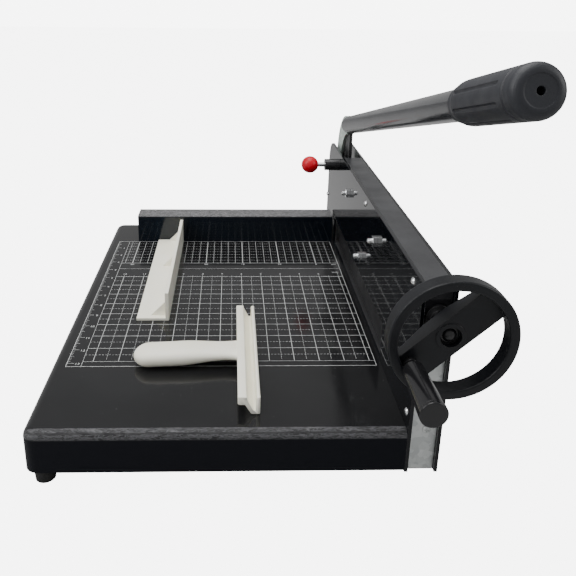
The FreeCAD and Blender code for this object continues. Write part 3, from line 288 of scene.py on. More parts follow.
CLOUD = cloud_group()
BAND = band_group()
SOFT_EDGE = soft_edge_group()
CRINKLE = crinkle_group()
SPECKS = speck_group()


# ---------------------------------------------------------------- material building
# The Mix node has a pair of inputs and one output for each kind of value.
NUMBER_INPUTS, NUMBER_OUTPUT = (2, 3), 0
COLOUR_INPUTS, COLOUR_OUTPUT = (6, 7), 2


class Finish:
    """One material being wired: its tree, its Principled shader and short calls for the shared groups."""

    def __init__(self, name, roughness=0.4, metallic=0.0, **constants):
        self.material = bpy.data.materials.new(name)
        self.material.use_nodes = True
        self.tree = self.material.node_tree
        self.shader = self.tree.nodes["Principled BSDF"]
        self.shader.inputs["Roughness"].default_value = roughness
        self.shader.inputs["Metallic"].default_value = metallic
        for label, value in constants.items():
            self.shader.inputs[label.replace("_", " ")].default_value = value
        self.normal = None

    def link(self, source, target):
        self.tree.links.new(source, target)

    def group(self, which, **values):
        node = add(self.tree, "ShaderNodeGroup", node_tree=which)
        for label, value in values.items():
            node.inputs[label].default_value = value
        return node

    def cloud(self, scale, low, high, stretch=(1, 1, 1), detail=4.0):
        return self.group(CLOUD, Scale=scale, Low=low, High=high, Stretch=stretch, Detail=detail).outputs["Value"]

    def band(self, axis, start, end):
        return self.group(BAND, Axis=axis, From=start, To=end).outputs["Mask"]

    def feed(self, node, values):
        """Links or sets inputs of a node, from pairs of an input's name or number and a socket, colour or number."""
        for label, value in values:
            socket = node.inputs[label]
            if isinstance(value, bpy.types.NodeSocket):
                self.link(value, socket)
            elif isinstance(value, tuple):
                socket.default_value = (*value, 1.0)
            else:
                socket.default_value = value

    def mix(self, share, first, second):
        """A colour between two colours or sockets, by a share that is a number or a socket."""
        node = add(self.tree, "ShaderNodeMix", data_type="RGBA")
        self.feed(node, [("Factor", share), (COLOUR_INPUTS[0], first), (COLOUR_INPUTS[1], second)])
        return node.outputs[COLOUR_OUTPUT]

    def blend_value(self, share, first, second):
        """A number between two numbers or sockets."""
        node = add(self.tree, "ShaderNodeMix", data_type="FLOAT")
        self.feed(node, [("Factor", share), (NUMBER_INPUTS[0], first), (NUMBER_INPUTS[1], second)])
        return node.outputs[NUMBER_OUTPUT]

    def times(self, first, second):
        """The product of two numbers or sockets."""
        node = add(self.tree, "ShaderNodeMath", operation="MULTIPLY")
        self.feed(node, [(0, first), (1, second)])
        return node.outputs["Value"]

    def soften_edges(self, radius):
        """Starts the normal with rounded edges and returns the mask of worn edges."""
        edges = self.group(SOFT_EDGE, Radius=radius)
        self.normal = edges.outputs["Normal"]
        return edges.outputs["Worn"]

    def bump(self, height, strength, distance):
        node = add(self.tree, "ShaderNodeBump")
        node.inputs["Strength"].default_value = strength
        node.inputs["Distance"].default_value = distance
        self.link(height, node.inputs["Height"])
        if self.normal is not None:
            self.link(self.normal, node.inputs["Normal"])
        self.normal = node.outputs["Normal"]

    def colour(self, socket):
        self.link(socket, self.shader.inputs["Base Color"])

    def roughness(self, socket):
        self.link(socket, self.shader.inputs["Roughness"])

    def done(self):
        if self.normal is not None:
            self.link(self.normal, self.shader.inputs["Normal"])
        return self.material


# ---------------------------------------------------------------- finishes
# The height above which the end panel is darkened to near black as painted shade behind the handwheel.
PAINTED_SHADE_FROM = 90.0 * MM
TABLE_ROLL = 8.0 * MM


def mirror_paint():
    """Deep gloss black on the side plates: faint ripple, thin haze and dust, and edges rubbed a little grey."""
    paint = Finish("mirror_black_paint", Specular_IOR_Level=0.36)
    worn = paint.soften_edges(0.0006)
    paint.bump(paint.cloud(70.0, 0.0, 1.0), 0.02, 0.0004)
    base = paint.mix(paint.cloud(18.0, 0.0, 1.0), (0.0016, 0.0020, 0.0032), (0.0030, 0.0036, 0.0052))
    dusty = paint.mix(paint.times(paint.group(SPECKS).outputs["Mask"], 0.5), base, (0.08, 0.08, 0.08))
    paint.colour(paint.mix(paint.times(worn, 0.5), dusty, (0.10, 0.10, 0.105)))
    paint.roughness(paint.cloud(26.0, 0.03, 0.09))
    return paint.done()


def table_paint():
    """Gloss black top, satin blue-black front, and along the front edge a crinkled roll whose grey is a painted
    highlight, split by a dark line of painted shade.
    """
    paint = Finish("table_black_paint", Specular_IOR_Level=0.4)
    low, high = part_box("table")

    def above(start, end):
        """A mask that comes in upwards, between two depths below the top as shares of the roll."""
        return paint.band(UP, high.z - TABLE_ROLL * start, high.z - TABLE_ROLL * end)

    def below(start, end):
        """A mask that comes in downwards, between two such depths."""
        return paint.band(DOWN, TABLE_ROLL * start - high.z, TABLE_ROLL * end - high.z)

    paint.soften_edges(0.0006)
    roll_start = -low.y - TABLE_ROLL
    # The rounded roll along the front edge, which carries the painted highlight.
    front_roll = paint.times(paint.band(TO_OPERATOR, roll_start, roll_start + 0.6 * MM), above(0.92, 0.78))
    # A thin band across the roll, darkened as painted shade between its two bands of painted highlight.
    painted_dark_line = paint.times(above(0.36, 0.30), below(0.16, 0.22))
    front_face = below(0.7, 1.0)
    wrinkle = paint.group(CRINKLE, Scale=330.0, Stretch=(0.22, 1.0, 1.0))
    paint.bump(paint.times(wrinkle.outputs["Height"], front_roll), 0.6, 0.0004)
    paint.bump(paint.cloud(90.0, 0.0, 1.0), 0.04, 0.0004)
    top = paint.mix(paint.cloud(9.0, 0.0, 1.0), (0.006, 0.0062, 0.0068), (0.011, 0.0112, 0.012))
    specks = paint.group(SPECKS, Scale=150.0).outputs["Mask"]
    dusty = paint.mix(paint.times(specks, 0.4), top, (0.09, 0.09, 0.09))
    faced = paint.mix(front_face, dusty, (0.0032, 0.0038, 0.0066))
    # Grey on the wrinkle ridges: a painted highlight standing in for the softbox reflections on the roll.
    ridge_highlight = paint.mix(wrinkle.outputs["Ridge Highlight"], (0.012, 0.012, 0.0135), (0.085, 0.085, 0.091))
    # The dark line of painted shade laid over the painted highlight.
    rolled = paint.mix(paint.times(painted_dark_line, 0.8), ridge_highlight, (0.010, 0.010, 0.011))
    paint.colour(paint.mix(front_roll, faced, rolled))
    paint.link(paint.blend_value(front_face, 0.4, 0.10), paint.shader.inputs["Specular IOR Level"])
    smooth = paint.blend_value(front_face, paint.cloud(20.0, 0.10, 0.18), 0.45)
    paint.roughness(paint.blend_value(front_roll, smooth, 0.38))
    return paint.done()


def fence_paint():
    """Gloss black fence whose crinkled top has a grey painted highlight on its ridges, like the table's front roll.
    """
    paint = Finish("fence_black_paint", Specular_IOR_Level=0.45)
    _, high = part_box("back_fence")
    paint.soften_edges(0.0008)
    top = paint.band(UP, high.z - 1.6 * MM, high.z - 0.5 * MM)
    wrinkle = paint.group(CRINKLE, Scale=330.0, Stretch=(0.45, 1.0, 1.0))
    paint.bump(paint.times(wrinkle.outputs["Height"], top), 0.8, 0.0005)
    face = paint.mix(paint.cloud(14.0, 0.0, 1.0), (0.0022, 0.0048, 0.0090), (0.0040, 0.0075, 0.0130))
    # Grey on the top's wrinkle ridges: a painted highlight from the overhead light.
    ridge_highlight = paint.mix(wrinkle.outputs["Ridge Highlight"], (0.045, 0.045, 0.047), (0.26, 0.26, 0.265))
    paint.colour(paint.mix(top, face, ridge_highlight))
    paint.roughness(paint.blend_value(top, paint.cloud(24.0, 0.08, 0.16), 0.42))
    return paint.done()


def satin_paint(name, dark, light, rough=(0.28, 0.42), grain=1100.0, depth=0.00008, shine=0.5):
    """Satin paint with a fine grain, cloudy tone and faintly rubbed edges."""
    paint = Finish(name, Specular_IOR_Level=shine)
    worn = paint.soften_edges(0.0007)
    paint.bump(paint.cloud(grain, 0.0, 1.0, detail=2.0), 0.35, depth)
    base = paint.mix(paint.cloud(22.0, 0.0, 1.0), dark, light)
    paint.colour(paint.mix(paint.times(worn, 0.45), base, (0.12, 0.12, 0.12)))
    paint.roughness(paint.cloud(35.0, *rough))
    return paint.done()


def galvanised():
    """Zinc-dipped sheet: flat crystals of slightly different greys with a dull sheen, turned near black higher up as
    painted shade behind the handwheel.
    """
    sheet = Finish("galvanised_sheet")
    sheet.soften_edges(0.0004)
    place = add(sheet.tree, "ShaderNodeTexCoord")
    crystals = add(sheet.tree, "ShaderNodeTexVoronoi")
    crystals.inputs["Scale"].default_value = 230.0
    sheet.link(place.outputs["Object"], crystals.inputs["Vector"])
    tone = add(sheet.tree, "ShaderNodeSeparateColor")
    sheet.link(crystals.outputs["Color"], tone.inputs["Color"])
    spangle = sheet.mix(tone.outputs["Red"], (0.42, 0.44, 0.44), (0.66, 0.68, 0.67))
    zinc = sheet.mix(sheet.cloud(45.0, 0.0, 0.55), spangle, (0.55, 0.57, 0.56))
    # Near black and not metallic above this height: painted shade where the panel sits behind the handwheel.
    painted_shade = sheet.band(UP, PAINTED_SHADE_FROM, PAINTED_SHADE_FROM + 0.5 * MM)
    sheet.colour(sheet.mix(painted_shade, zinc, (0.006, 0.006, 0.008)))
    sheet.link(sheet.blend_value(painted_shade, 0.75, 0.0), sheet.shader.inputs["Metallic"])
    sheet.roughness(sheet.blend_value(tone.outputs["Green"], 0.34, 0.52))
    sheet.bump(sheet.cloud(500.0, 0.0, 1.0), 0.2, 0.0001)
    return sheet.done()


def plated(name, dark, light, rough, brush=(1, 1, 1), scale=60.0, grain=900.0, metallic=1.0):
    """Plated or bare metal: cloudy tone, brushed or blasted grain and soft bright edges."""
    metal = Finish(name, metallic=metallic)
    metal.soften_edges(0.0004)
    metal.bump(metal.cloud(grain, 0.0, 1.0, stretch=brush, detail=2.0), 0.18, 0.00006)
    tone = metal.mix(metal.cloud(scale, 0.0, 1.0), dark, light)
    metal.colour(tone)
    metal.roughness(metal.cloud(scale * 2.0, *rough, stretch=brush))
    return metal.done()


def moulded(name, dark, light, rough, grain=900.0, depth=0.00012, strength=0.3, **constants):
    """Moulded plastic or rubber: fine pebbled grain, faint flow clouds and softened edges."""
    plastic = Finish(name, **constants)
    worn = plastic.soften_edges(0.0008)
    plastic.bump(plastic.cloud(grain, 0.0, 1.0, detail=2.0), strength, depth)
    tone = plastic.mix(plastic.cloud(30.0, 0.0, 1.0), dark, light)
    rubbed = tuple(min(1.0, c * 1.3 + 0.02) for c in light)
    plastic.colour(plastic.mix(plastic.times(worn, 0.25), tone, rubbed))
    plastic.roughness(plastic.cloud(55.0, *rough))
    return plastic.done()


def print_ink():
    """White screen-printed ink, a little uneven and thin in places."""
    ink = Finish("white_print_ink")
    ink.colour(ink.mix(ink.cloud(260.0, 0.0, 1.0), (0.42, 0.43, 0.43), (0.66, 0.67, 0.66)))
    ink.roughness(ink.cloud(120.0, 0.35, 0.5))
    return ink.done()


def finishes():
    """The finish of each material slot of the record."""
    return {
        "gloss_black_panel": mirror_paint(),
        "gloss_black_table": table_paint(),
        "black_fence": fence_paint(),
        "satin_grey_cover": satin_paint("cover_satin_paint", (0.024, 0.0245, 0.027), (0.035, 0.036, 0.039)),
        "galvanised_sheet": galvanised(),
        "black_rubber": moulded("black_rubber", (0.008, 0.008, 0.008), (0.014, 0.014, 0.014), (0.6, 0.85)),
        "zinc_steel": plated("zinc_plated_steel", (0.58, 0.68, 0.62), (0.76, 0.85, 0.79), (0.30, 0.46),
                             metallic=0.55),
        "chrome_steel": plated("bright_chrome", (0.72, 0.73, 0.74), (0.84, 0.85, 0.86), (0.07, 0.16)),
        "dark_steel": satin_paint("blackened_steel", (0.016, 0.016, 0.017), (0.028, 0.028, 0.030)),
        "ground_steel": plated("ground_blade_steel", (0.46, 0.47, 0.49), (0.62, 0.63, 0.65), (0.16, 0.30),
                               brush=(1.0, 0.05, 1.0)),
        "bronze": plated("bearing_bronze", (0.42, 0.26, 0.10), (0.58, 0.38, 0.17), (0.25, 0.42)),
        "red_plastic": moulded("red_plastic", (0.47, 0.0, 0.010), (0.58, 0.0, 0.014), (0.30, 0.45),
                               grain=1600.0, depth=0.00006, Specular_IOR_Level=0.35),
        "black_steel": satin_paint("black_oxide_steel", (0.008, 0.008, 0.009), (0.014, 0.014, 0.015),
                                   rough=(0.22, 0.36)),
        "gloss_grey_tube": satin_paint("tube_grey_paint", (0.030, 0.031, 0.034), (0.042, 0.043, 0.047),
                                       rough=(0.10, 0.18), grain=500.0, depth=0.00003),
        "matte_black_plastic": moulded("grip_black_plastic", (0.010, 0.0112, 0.0155), (0.015, 0.0168, 0.0225),
                                       (0.42, 0.56), grain=1500.0),
        "dark_wheel": satin_paint("wheel_satin_paint", (0.0048, 0.0054, 0.0070), (0.0082, 0.0090, 0.0112),
                                  rough=(0.30, 0.42), grain=1300.0, shine=0.3),
        "gloss_black_plastic": moulded("crank_gloss_plastic", (0.006, 0.006, 0.007), (0.010, 0.010, 0.011),
                                       (0.10, 0.20), grain=300.0, depth=0.00004, strength=0.15),
        "off_white_plastic": moulded("off_white_plastic", (0.93, 0.905, 0.775), (0.97, 0.95, 0.835), (0.38, 0.52),
                                     depth=0.00007, Subsurface_Weight=0.08, Subsurface_Radius=(0.004, 0.003, 0.002)),
    }


# ---------------------------------------------------------------- printed grid on the table
PRINT_THICKNESS = 0.05 * MM
PRINT_LEFT_INSET = 15.0
PRINT_RIGHT = -20.0
RULER_STRIP = 15.0
CENTIMETRE_BAND = 80.0
PLAIN_LINE = 98.7
INCH_ROW = 124.1
INCH_ROWS = 8
INCH_BOTTOM = 327.3
PRINT_BOTTOM = 336.3
PRINT_TOP = 1.0
BORDER_END = 0.7
THIN, MEDIUM, BOLD = 0.36, 0.54, 0.85
DASH, DASH_GAP = 2.0, 1.4
CENTIMETRE = 10.0
CENTIMETRE_COLUMNS = range(3, 32)
CENTIMETRE_ROWS = range(1, 8)
INCH_COLUMNS = range(1, 13)
EIGHTH = INCH / 8
FIRST_ROW_TICK = 7
# Tick lengths at whole inches, half inches and the eighths between.
ROW_TICKS = (4.0, 2.8, 1.6)
RULER_TICKS = (7.0, 4.5, 2.5)
NUMBER_SIZE = 3.6
# The share of a font's size that its digits are tall.
DIGIT_FONT_SHARE = 0.7
DIGIT_CURVE_STEPS = 3
RULER_NUMBER_INSET, RULER_NUMBER_DROP = 10.5, 1.5
CENTIMETRE_NUMBER_DROP = 4.2
INCH_NUMBER_RISE = 8.0
CENTIMETRE_UNIT_INSET = 6.0
INCH_UNIT_INSET, INCH_UNIT_RISE = 8.0, 13.5


def print_left():
    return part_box("table")[0].x / MM + PRINT_LEFT_INSET


def across(x, near, far, width):
    """A line along Y at one x, as its lowest and highest corner in millimetres."""
    return [(x - width / 2, -far, 0), (x + width / 2, -near, 0)]


def along(y, left, right, width):
    """A line along X at one distance from the fence."""
    return [(left, -y - width / 2, 0), (right, -y + width / 2, 0)]


def tick(eighths, lengths):
    """The length of the tick at a count of eighths of an inch."""
    whole, half, small = lengths
    if eighths % 8 == 0:
        return whole
    return half if eighths % 4 == 0 else small


def dashed(start, end, maker):
    """The dashes of a line between two places along it."""
    step = DASH + DASH_GAP
    count = int((end - start) // step)
    return [maker(start + i * step, start + i * step + DASH) for i in range(count)]


def grid_lines():
    """Solid lines: border, ruler strip, centimetre lines, inch lines and their ticks."""
    left = print_left()
    inner = left + RULER_STRIP
    lines = [along(PRINT_TOP, left, PRINT_RIGHT, MEDIUM), along(PRINT_BOTTOM, left, PRINT_RIGHT, MEDIUM),
             across(left, BORDER_END, PRINT_BOTTOM, MEDIUM), across(PRINT_RIGHT, BORDER_END, PRINT_BOTTOM, MEDIUM),
             across(inner, BORDER_END, PRINT_BOTTOM, THIN), along(CENTIMETRE_BAND, inner, PRINT_RIGHT, MEDIUM),
             along(PLAIN_LINE, inner, PRINT_RIGHT, THIN), along(INCH_BOTTOM, inner, PRINT_RIGHT, THIN)]
    for k in CENTIMETRE_COLUMNS:
        lines.append(across(-CENTIMETRE * k, PRINT_TOP, CENTIMETRE_BAND, BOLD if k % 5 == 0 else THIN))
    lines += [across(-INCH * k, INCH_ROW, INCH_BOTTOM, MEDIUM) for k in INCH_COLUMNS if -INCH * k > inner]
    lines += [along(INCH_ROW + INCH * k, inner, PRINT_RIGHT, MEDIUM) for k in range(INCH_ROWS)]
    for k in range(FIRST_ROW_TICK, int(-inner / EIGHTH)):
        lines.append(across(-EIGHTH * k, INCH_ROW - tick(k, ROW_TICKS), INCH_ROW, THIN))
    for k in range(1, int(PRINT_BOTTOM / EIGHTH)):
        lines.append(along(EIGHTH * k, left, left + tick(k, RULER_TICKS), THIN))
    return lines


def dashed_lines():
    """Dashed lines: the centimetre rows and the half inches both ways."""
    inner = print_left() + RULER_STRIP
    half_rows = [INCH_ROW + INCH * (k + 0.5) for k in range(INCH_ROWS)]
    rows = [CENTIMETRE * k for k in CENTIMETRE_ROWS] + [y for y in half_rows if y < INCH_BOTTOM]
    columns = [-INCH * (k - 0.5) for k in INCH_COLUMNS]
    lines = []
    for y in rows:
        lines += dashed(inner, PRINT_RIGHT, lambda a, b: along(y, a, b, THIN))
    for x in columns:
        if inner < x < PRINT_RIGHT:
            lines += dashed(INCH_ROW, INCH_BOTTOM, lambda a, b: across(x, a, b, THIN))
    return lines


def lines_piece(name, lines):
    """One mesh of printed lines lying on the table's top."""
    corners = np.array(lines, float) * MM
    corners[:, 0, 2] = 0.0
    corners[:, 1, 2] = PRINT_THICKNESS
    return thin_blocks(name, corners[:, 0], corners[:, 1])


def digits(text, x, y):
    """The outline of a number, made a mesh and laid on the table with its middle at a place."""
    curve = bpy.data.curves.new("digits_" + text, "FONT")
    curve.body = text
    curve.size = NUMBER_SIZE * MM / DIGIT_FONT_SHARE
    curve.align_x = "CENTER"
    curve.align_y = "CENTER"
    curve.extrude = PRINT_THICKNESS / 2
    curve.resolution_u = DIGIT_CURVE_STEPS
    writer = bpy.data.objects.new("digits_" + text, curve)
    bpy.context.scene.collection.objects.link(writer)
    bpy.context.view_layer.update()
    mesh = bpy.data.meshes.new_from_object(writer)
    bpy.data.objects.remove(writer)
    count = len(mesh.vertices)
    points = np.zeros(count * 3)
    mesh.vertices.foreach_get("co", points)
    points = points.reshape(-1, 3) + np.array([x * MM, y * MM, PRINT_THICKNESS / 2])
    mesh.vertices.foreach_set("co", points.ravel())
    piece = bpy.data.objects.new("digits_" + text, mesh)
    bpy.context.scene.collection.objects.link(piece)
    return piece


def numbers_piece():
    """All printed numbers as one piece: inches down the ruler strip and along the inch row, centimetres below."""
    left = print_left()
    centimetre_y = -CENTIMETRE_BAND - CENTIMETRE_NUMBER_DROP
    written = [digits(str(k), left + RULER_NUMBER_INSET, -INCH * k - RULER_NUMBER_DROP) for k in range(1, 14)]
    written += [digits(str(k), -CENTIMETRE * k, centimetre_y) for k in range(5, 31, 5)]
    written += [digits(str(k), -INCH * k, -INCH_ROW + INCH_NUMBER_RISE)
                for k in INCH_COLUMNS if -INCH * k > left + RULER_STRIP]
    written += [digits("cm", PRINT_RIGHT - CENTIMETRE_UNIT_INSET, centimetre_y),
                digits("inch", PRINT_RIGHT - INCH_UNIT_INSET, -INCH_ROW + INCH_UNIT_RISE)]
    bpy.ops.object.select_all(action="DESELECT")
    for piece in written:
        piece.select_set(True)
    bpy.context.view_layer.objects.active = written[0]
    bpy.ops.object.join()
    joined = bpy.context.view_layer.objects.active
    joined.name = "printed_numbers"
    return joined


def printed_grid(ink):
    """The three printed pieces, on the table."""
    pieces = [lines_piece("printed_lines", grid_lines()), lines_piece("printed_dashes", dashed_lines()),
              numbers_piece()]
    for piece in pieces:
        piece.data.materials.clear()
        piece.data.materials.append(ink)
        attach(piece, "frame")


# ---------------------------------------------------------------- small pieces of hardware
STUD_PITCH = 1.0
STUD_RIDGE = 0.28
STUD_ROOT = 0.1
STUD_HALF_BASE = 0.42
STUD_TIP = 1.6
STEPS_PER_TURN = 40
FADES_PER_TURN = 4.0
FAINTEST_RIDGE = 0.05
PANEL_SCREW = (2.2, -0.8)
PANEL_SCREW_RADIUS = 3.6
PANEL_SCREW_HEIGHT = 1.7
# How far out on a ball's side, as a share of its radius, the dome is cut off.
DOME_CUT = 0.94
CROSS_ARM, CROSS_ARM_FADE = 2.2, 0.4
CROSS_WIDTH, CROSS_SIDE_FADE = 0.5, 0.2
CROSS_DEPTH = 1.0


def thread_ridge(name, nut_face, tip, y, z, radius):
    """A screw thread on a stud along X.

    A triangle whose base lies just inside the stud's skin is carried along a helix. After t turns its middle is at
    the nut's face less t and a half pitches, at an angle of t full turns. Its crest stands out by the ridge height,
    which fades in and out at the ends.
    """
    turns = (nut_face - tip) / STUD_PITCH - 1.0
    t = np.linspace(0.0, turns, int(turns * STEPS_PER_TURN) + 1)
    fade = np.clip(np.minimum(t, turns - t) * FADES_PER_TURN, FAINTEST_RIDGE, 1.0)
    offset = np.array([STUD_HALF_BASE, 0.0, -STUD_HALF_BASE]) * STUD_PITCH
    is_crest = np.array([False, True, False])
    x = nut_face - STUD_PITCH * (t[:, None] + 0.5) + offset
    reach = radius + np.where(is_crest, STUD_RIDGE * fade[:, None], -STUD_ROOT)
    angle = 2 * np.pi * t[:, None]
    points = np.stack([x, y + reach * np.cos(angle), z + reach * np.sin(angle)], axis=-1)
    return closed_tube(name, points * MM, smooth=False)


def stud_threads(metal):
    """Threads on the three studs that stand out of the table-side plate, between their nuts and their tips."""
    shanks = [("clamp_stud_thread", "clamp_guide_bolt", 1), ("drawbar_stud_thread", "drawbar_guide_screws", 2)]
    nut_low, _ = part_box("lock_nuts")
    for label, node, count in shanks:
        low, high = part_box(node)
        radius = (high.z - low.z) / 2 / MM
        ends = [low.y / MM + radius, high.y / MM - radius][:count]
        for index, y in enumerate(ends):
            piece = thread_ridge(label + "_" + str(index + 1), nut_low.x / MM, low.x / MM + STUD_TIP,
                                 y, (low.z + high.z) / 2 / MM, radius)
            piece.data.materials.append(metal)
            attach(piece, "frame")


def end_panel_screw(metal):
    """The cross-head screw on the end panel.

    A dome turned about Y: its height falls as the square root of one minus the square of the radius, taken as a share
    of the whole ball's. A cross is dented into it: two bars that fade over their width and towards their ends.
    """
    x, z = PANEL_SCREW
    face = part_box("front_end_panel")[0].y / MM
    share = np.concatenate([[0.01], np.linspace(0.06, 1.0, 28), [1.0, 0.01]])
    lift = np.concatenate([np.sqrt(1 - (DOME_CUT * share[:-2]) ** 2), [0.0, 0.0]]) * PANEL_SCREW_HEIGHT
    angle = np.linspace(0.0, 2 * np.pi, 96, endpoint=False)
    sideways = PANEL_SCREW_RADIUS * share[:, None] * np.cos(angle)
    upward = PANEL_SCREW_RADIUS * share[:, None] * np.sin(angle)

    def bar(length_way, width_way):
        """One bar of the cross: 1 inside it, 0 outside, with soft borders."""
        return (np.clip((CROSS_ARM - np.abs(length_way)) / CROSS_ARM_FADE, 0, 1)
                * np.clip((CROSS_WIDTH - np.abs(width_way)) / CROSS_SIDE_FADE + 0.5, 0, 1))

    dent = np.maximum(bar(sideways, upward), bar(upward, sideways)) * CROSS_DEPTH
    height = np.maximum(lift[:, None] - dent * (lift[:, None] > 0.2), 0.0)
    points = np.stack([x + sideways, face - height, z + upward], axis=-1)
    piece = closed_tube("end_panel_screw", points[::-1] * MM)
    piece.data.materials.append(metal)
    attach(piece, "frame")


# ---------------------------------------------------------------- loose pusher
PUSHER_ROUND = 1.3
PUSHER_TILT = 4.0
PUSHER_HEIGHT = 17.9
PUSHER_BAR_WIDTH = 20.0
# Distances in from each end of the bar, and how far its outline is drawn in there.
PUSHER_END_ROUNDING = ((0.0, 0.9), (0.08, 0.65), (0.35, 0.3), (0.9, 0.0))
HANDLE_LENGTH_GAP = 16.0
HANDLE_Y = -326.0
HANDLE_HALF_WIDTH, WAIST_NARROWING, FLARE_WIDENING = 16.4, 2.0, 3.0
HANDLE_HALF_HEIGHT, WAIST_THINNING, FLARE_THINNING = 9.1, 2.9, 0.8
HANDLE_LEVEL, HANDLE_LEVEL_BELOW_TOP = 9.3, 6.6
SWELL_SHARE = 0.15
WAIST_START, WAIST_SPAN = 0.45, 0.40
FLARE_START, FLARE_SPAN = 0.86, 0.14
OVAL_POWER = 0.85
HOLLOW_DEPTH, HOLLOW_WIDTH = 0.06, 0.4


def smooth_step(share):
    """An easing from 0 to 1 that starts and ends level: three squared shares less two cubed ones."""
    return share * share * (3 - 2 * share)


def rounded_outline(corners, radius, steps=5):
    """A polygon with each corner swapped for a quadratic bend, as points at equal shares of it."""
    rounded = []
    corners = np.array(corners, float)
    for index, here in enumerate(corners):
        before = corners[index - 1] - here
        after = corners[(index + 1) % len(corners)] - here
        reach = min(radius, np.linalg.norm(before) * 0.45, np.linalg.norm(after) * 0.45)
        start = here + before / np.linalg.norm(before) * reach
        end = here + after / np.linalg.norm(after) * reach
        share = np.linspace(0, 1, steps)[:, None]
        rounded.append((1 - share) ** 2 * start + 2 * share * (1 - share) * here + share ** 2 * end)
    return np.concatenate(rounded)


def pusher_head(low, high):
    """The stepped head bar: its outline in X and Z is carried along Y, drawn in a little at both ends."""
    right, base = high.x / MM, low.z / MM
    top = base + PUSHER_HEIGHT
    left = right - PUSHER_BAR_WIDTH
    corners = [(left, top - 8.0), (left + 6.0, top - 8.0), (right - 7.9, base), (right, base), (right, top - 0.4),
               (right - 3.0, top - 0.4), (right - 3.4, base + 3.4), (right - 5.8, base + 3.4),
               (left + 8.0, top - 2.5), (left + 8.0, top), (left, top)]
    outline = rounded_outline(corners, PUSHER_ROUND)
    to_middle = outline.mean(axis=0) - outline
    to_middle /= np.linalg.norm(to_middle, axis=1)[:, None]
    front, back = low.y / MM, high.y / MM
    sections = [(front + place, inset) for place, inset in PUSHER_END_ROUNDING]
    sections += [(back - place, inset) for place, inset in PUSHER_END_ROUNDING[::-1]]
    rings = []
    for y, inset in sections:
        drawn_in = outline + to_middle * inset
        rings.append(np.column_stack([drawn_in[:, 0], np.full(len(outline), y), drawn_in[:, 1]]))
    return closed_tube("pusher_head", np.stack(rings[::-1]) * MM)


def pusher_handle(low, high):
    """The palm handle: ovals along X.

    At share s from its round end to the bar, the half width swells as a quarter ellipse, eases in to a waist, and
    flares at the bar. The half height swells and eases in too, and thins at the bar, while its middle rises to the
    bar's level. The oval is a squared-off ellipse, with cosine and sine raised to a power below one. A shallow hollow
    runs along its lower near side at the waist.
    """
    start = low.x / MM
    end = high.x / MM - HANDLE_LENGTH_GAP
    s = np.concatenate([1 - np.cos(np.linspace(0.03, 0.5, 14) * np.pi), np.linspace(1.0, 8.0, 40)[1:]]) / 8.0
    swell = np.sqrt(1 - np.clip(1 - s / SWELL_SHARE, 0, 1) ** 2)
    waist = smooth_step(np.clip((s - WAIST_START) / WAIST_SPAN, 0, 1))
    flare = np.clip((s - FLARE_START) / FLARE_SPAN, 0, 1) ** 2
    half_width = swell * (HANDLE_HALF_WIDTH - WAIST_NARROWING * waist) + FLARE_WIDENING * flare
    half_height = swell * (HANDLE_HALF_HEIGHT - WAIST_THINNING * waist) - FLARE_THINNING * flare
    ease = smooth_step(s)
    climb = PUSHER_HEIGHT - HANDLE_LEVEL_BELOW_TOP - HANDLE_LEVEL
    level = low.z / MM + HANDLE_LEVEL + climb * ease
    middle_y = HANDLE_Y - PUSHER_TILT * (1 - ease)
    angle = np.linspace(0, 2 * np.pi, 48, endpoint=False)
    side = np.sign(np.cos(angle)) * np.abs(np.cos(angle)) ** OVAL_POWER
    rise = np.sign(np.sin(angle)) * np.abs(np.sin(angle)) ** OVAL_POWER
    hollow = 1 - HOLLOW_DEPTH * np.exp(-((angle - 1.25 * np.pi) / HOLLOW_WIDTH) ** 2) * waist[:, None]
    y = middle_y[:, None] + half_width[:, None] * side * hollow
    z = level[:, None] + half_height[:, None] * rise * hollow
    x = np.broadcast_to((start + (end - start) * s)[:, None], y.shape)
    return closed_tube("pusher_handle", np.stack([x, y, z], axis=-1) * MM)


def smooth_pusher(plastic):
    """The pusher's two pieces, in place of its CAD solid."""
    low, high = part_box("paper_pusher")
    for piece in (pusher_head(low, high), pusher_handle(low, high)):
        piece.data.materials.append(plastic)
        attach(piece, "pusher")
        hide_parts("paper_pusher")


# ---------------------------------------------------------------- carried-over nodes
def dress_nodes(made):
    """Gives each CAD node the finish of its material slot."""
    for row in frame["record"]["subparts"]:
        mesh = nodes_by_name[row["node"]].data
        mesh.materials.clear()
        mesh.materials.append(made[row["material_slot"]])


# ---------------------------------------------------------------- studio
FLOOR_REACH = 6.0
FLOOR_POINTS = 9
FLOOR_GLOW = 8.0
FLOOR_GLOW_SHARE = 0.8
SURROUND_SEEN, SURROUND_LIGHT = 7.0, 0.52


def soft_light(name, place, target, size, power):
    """A rectangular softbox that faces a point."""
    lamp = bpy.data.lights.new(name, "AREA")
    lamp.shape = "RECTANGLE"
    lamp.size, lamp.size_y = size
    lamp.energy = power
    softbox = bpy.data.objects.new(name, lamp)
    bpy.context.scene.collection.objects.link(softbox)
    softbox.location = place
    softbox.rotation_euler = look_along(np.array(target) - np.array(place))


def look_along(direction):
    """The rotation that turns an object's -Z axis along a direction, keeping its X axis level."""
    x, y, z = direction / np.linalg.norm(direction)
    return (math.acos(-z), 0.0, math.atan2(y, x) - math.pi / 2)


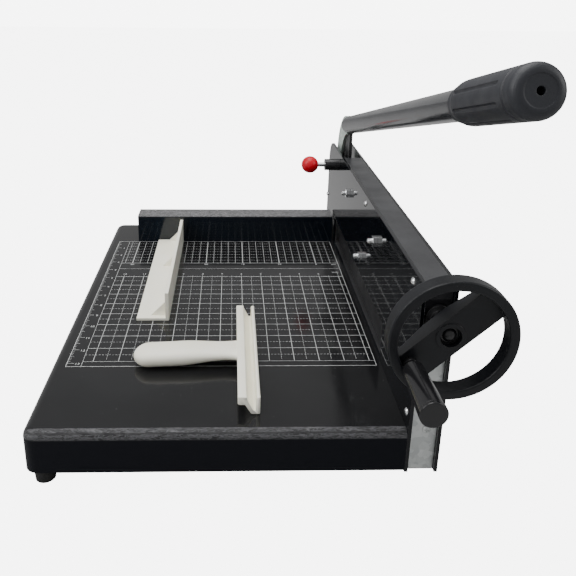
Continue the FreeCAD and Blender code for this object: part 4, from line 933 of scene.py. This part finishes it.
def pale_floor():
    """White paper that glows to the eye, so it stays nearly shadowless, and is plain grey to everything else."""
    paper = Finish("pale_floor", roughness=0.9)
    paper.colour(paper.mix(paper.cloud(1.5, 0.0, 1.0), (0.40, 0.40, 0.40), (0.43, 0.43, 0.43)))
    glow = add(paper.tree, "ShaderNodeEmission")
    glow.inputs["Strength"].default_value = FLOOR_GLOW
    path = add(paper.tree, "ShaderNodeLightPath")
    either = add(paper.tree, "ShaderNodeMixShader")
    paper.link(paper.times(path.outputs["Is Camera Ray"], FLOOR_GLOW_SHARE), either.inputs["Fac"])
    paper.link(paper.shader.outputs["BSDF"], either.inputs[1])
    paper.link(glow.outputs["Emission"], either.inputs[2])
    paper.link(either.outputs["Shader"], paper.tree.nodes["Material Output"].inputs["Surface"])
    return paper.done()


def studio():
    """A pale floor, a bright plain surround, and soft boxes above and beside."""
    low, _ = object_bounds()
    steps = np.linspace(-FLOOR_REACH, FLOOR_REACH, FLOOR_POINTS)
    x, y = np.meshgrid(steps, steps, indexing="ij")
    points = np.stack([x, y, np.full_like(x, low.z - 0.1 * MM)], axis=-1).reshape(-1, 3)
    faces = grid_quads(FLOOR_POINTS, FLOOR_POINTS)[:, ::-1].tolist()
    floor = mesh_object("studio_floor", points, faces, smooth=False)
    floor.data.materials.append(pale_floor())
    world = bpy.data.worlds.new("studio_surround")
    bpy.context.scene.world = world
    world.use_nodes = True
    tree = world.node_tree
    surround = tree.nodes["Background"]
    surround.inputs["Color"].default_value = (1.0, 1.0, 1.0, 1.0)
    path = add(tree, "ShaderNodeLightPath")
    level = add(tree, "ShaderNodeMix", data_type="FLOAT")
    level.inputs[NUMBER_INPUTS[0]].default_value = SURROUND_LIGHT
    level.inputs[NUMBER_INPUTS[1]].default_value = SURROUND_SEEN
    tree.links.new(path.outputs["Is Camera Ray"], level.inputs["Factor"])
    tree.links.new(level.outputs[NUMBER_OUTPUT], surround.inputs["Strength"])
    soft_light("overhead_softbox", (-0.3, -0.1, 1.7), (-0.15, -0.2, 0.0), (1.6, 1.2), 30.0)
    soft_light("left_softbox", (-1.7, -0.7, 1.1), (-0.1, -0.2, 0.05), (1.0, 1.0), 18.0)
    soft_light("right_softbox", (1.6, -0.9, 1.0), (0.0, -0.3, 0.1), (0.8, 1.0), 10.0)


def camera():
    """The camera: place and turn, with its lens and the shift that centres the frame."""
    lens = bpy.data.cameras.new("view")
    lens.sensor_width = 36.0
    lens.lens = 41.11
    lens.shift_x = 0.0691
    lens.shift_y = -0.1396
    eye = bpy.data.objects.new("view", lens)
    bpy.context.scene.collection.objects.link(eye)
    eye.location = (-0.1665, -0.9075, 0.3603)
    eye.rotation_euler = (math.radians(71.296), math.radians(-0.594), math.radians(-1.399))
    bpy.context.scene.camera = eye


# ---------------------------------------------------------------- build
made = finishes()
dress_nodes(made)
printed_grid(print_ink())
stud_threads(made["chrome_steel"])
end_panel_screw(made["galvanised_sheet"])
smooth_pusher(made["off_white_plastic"])
studio()
camera()
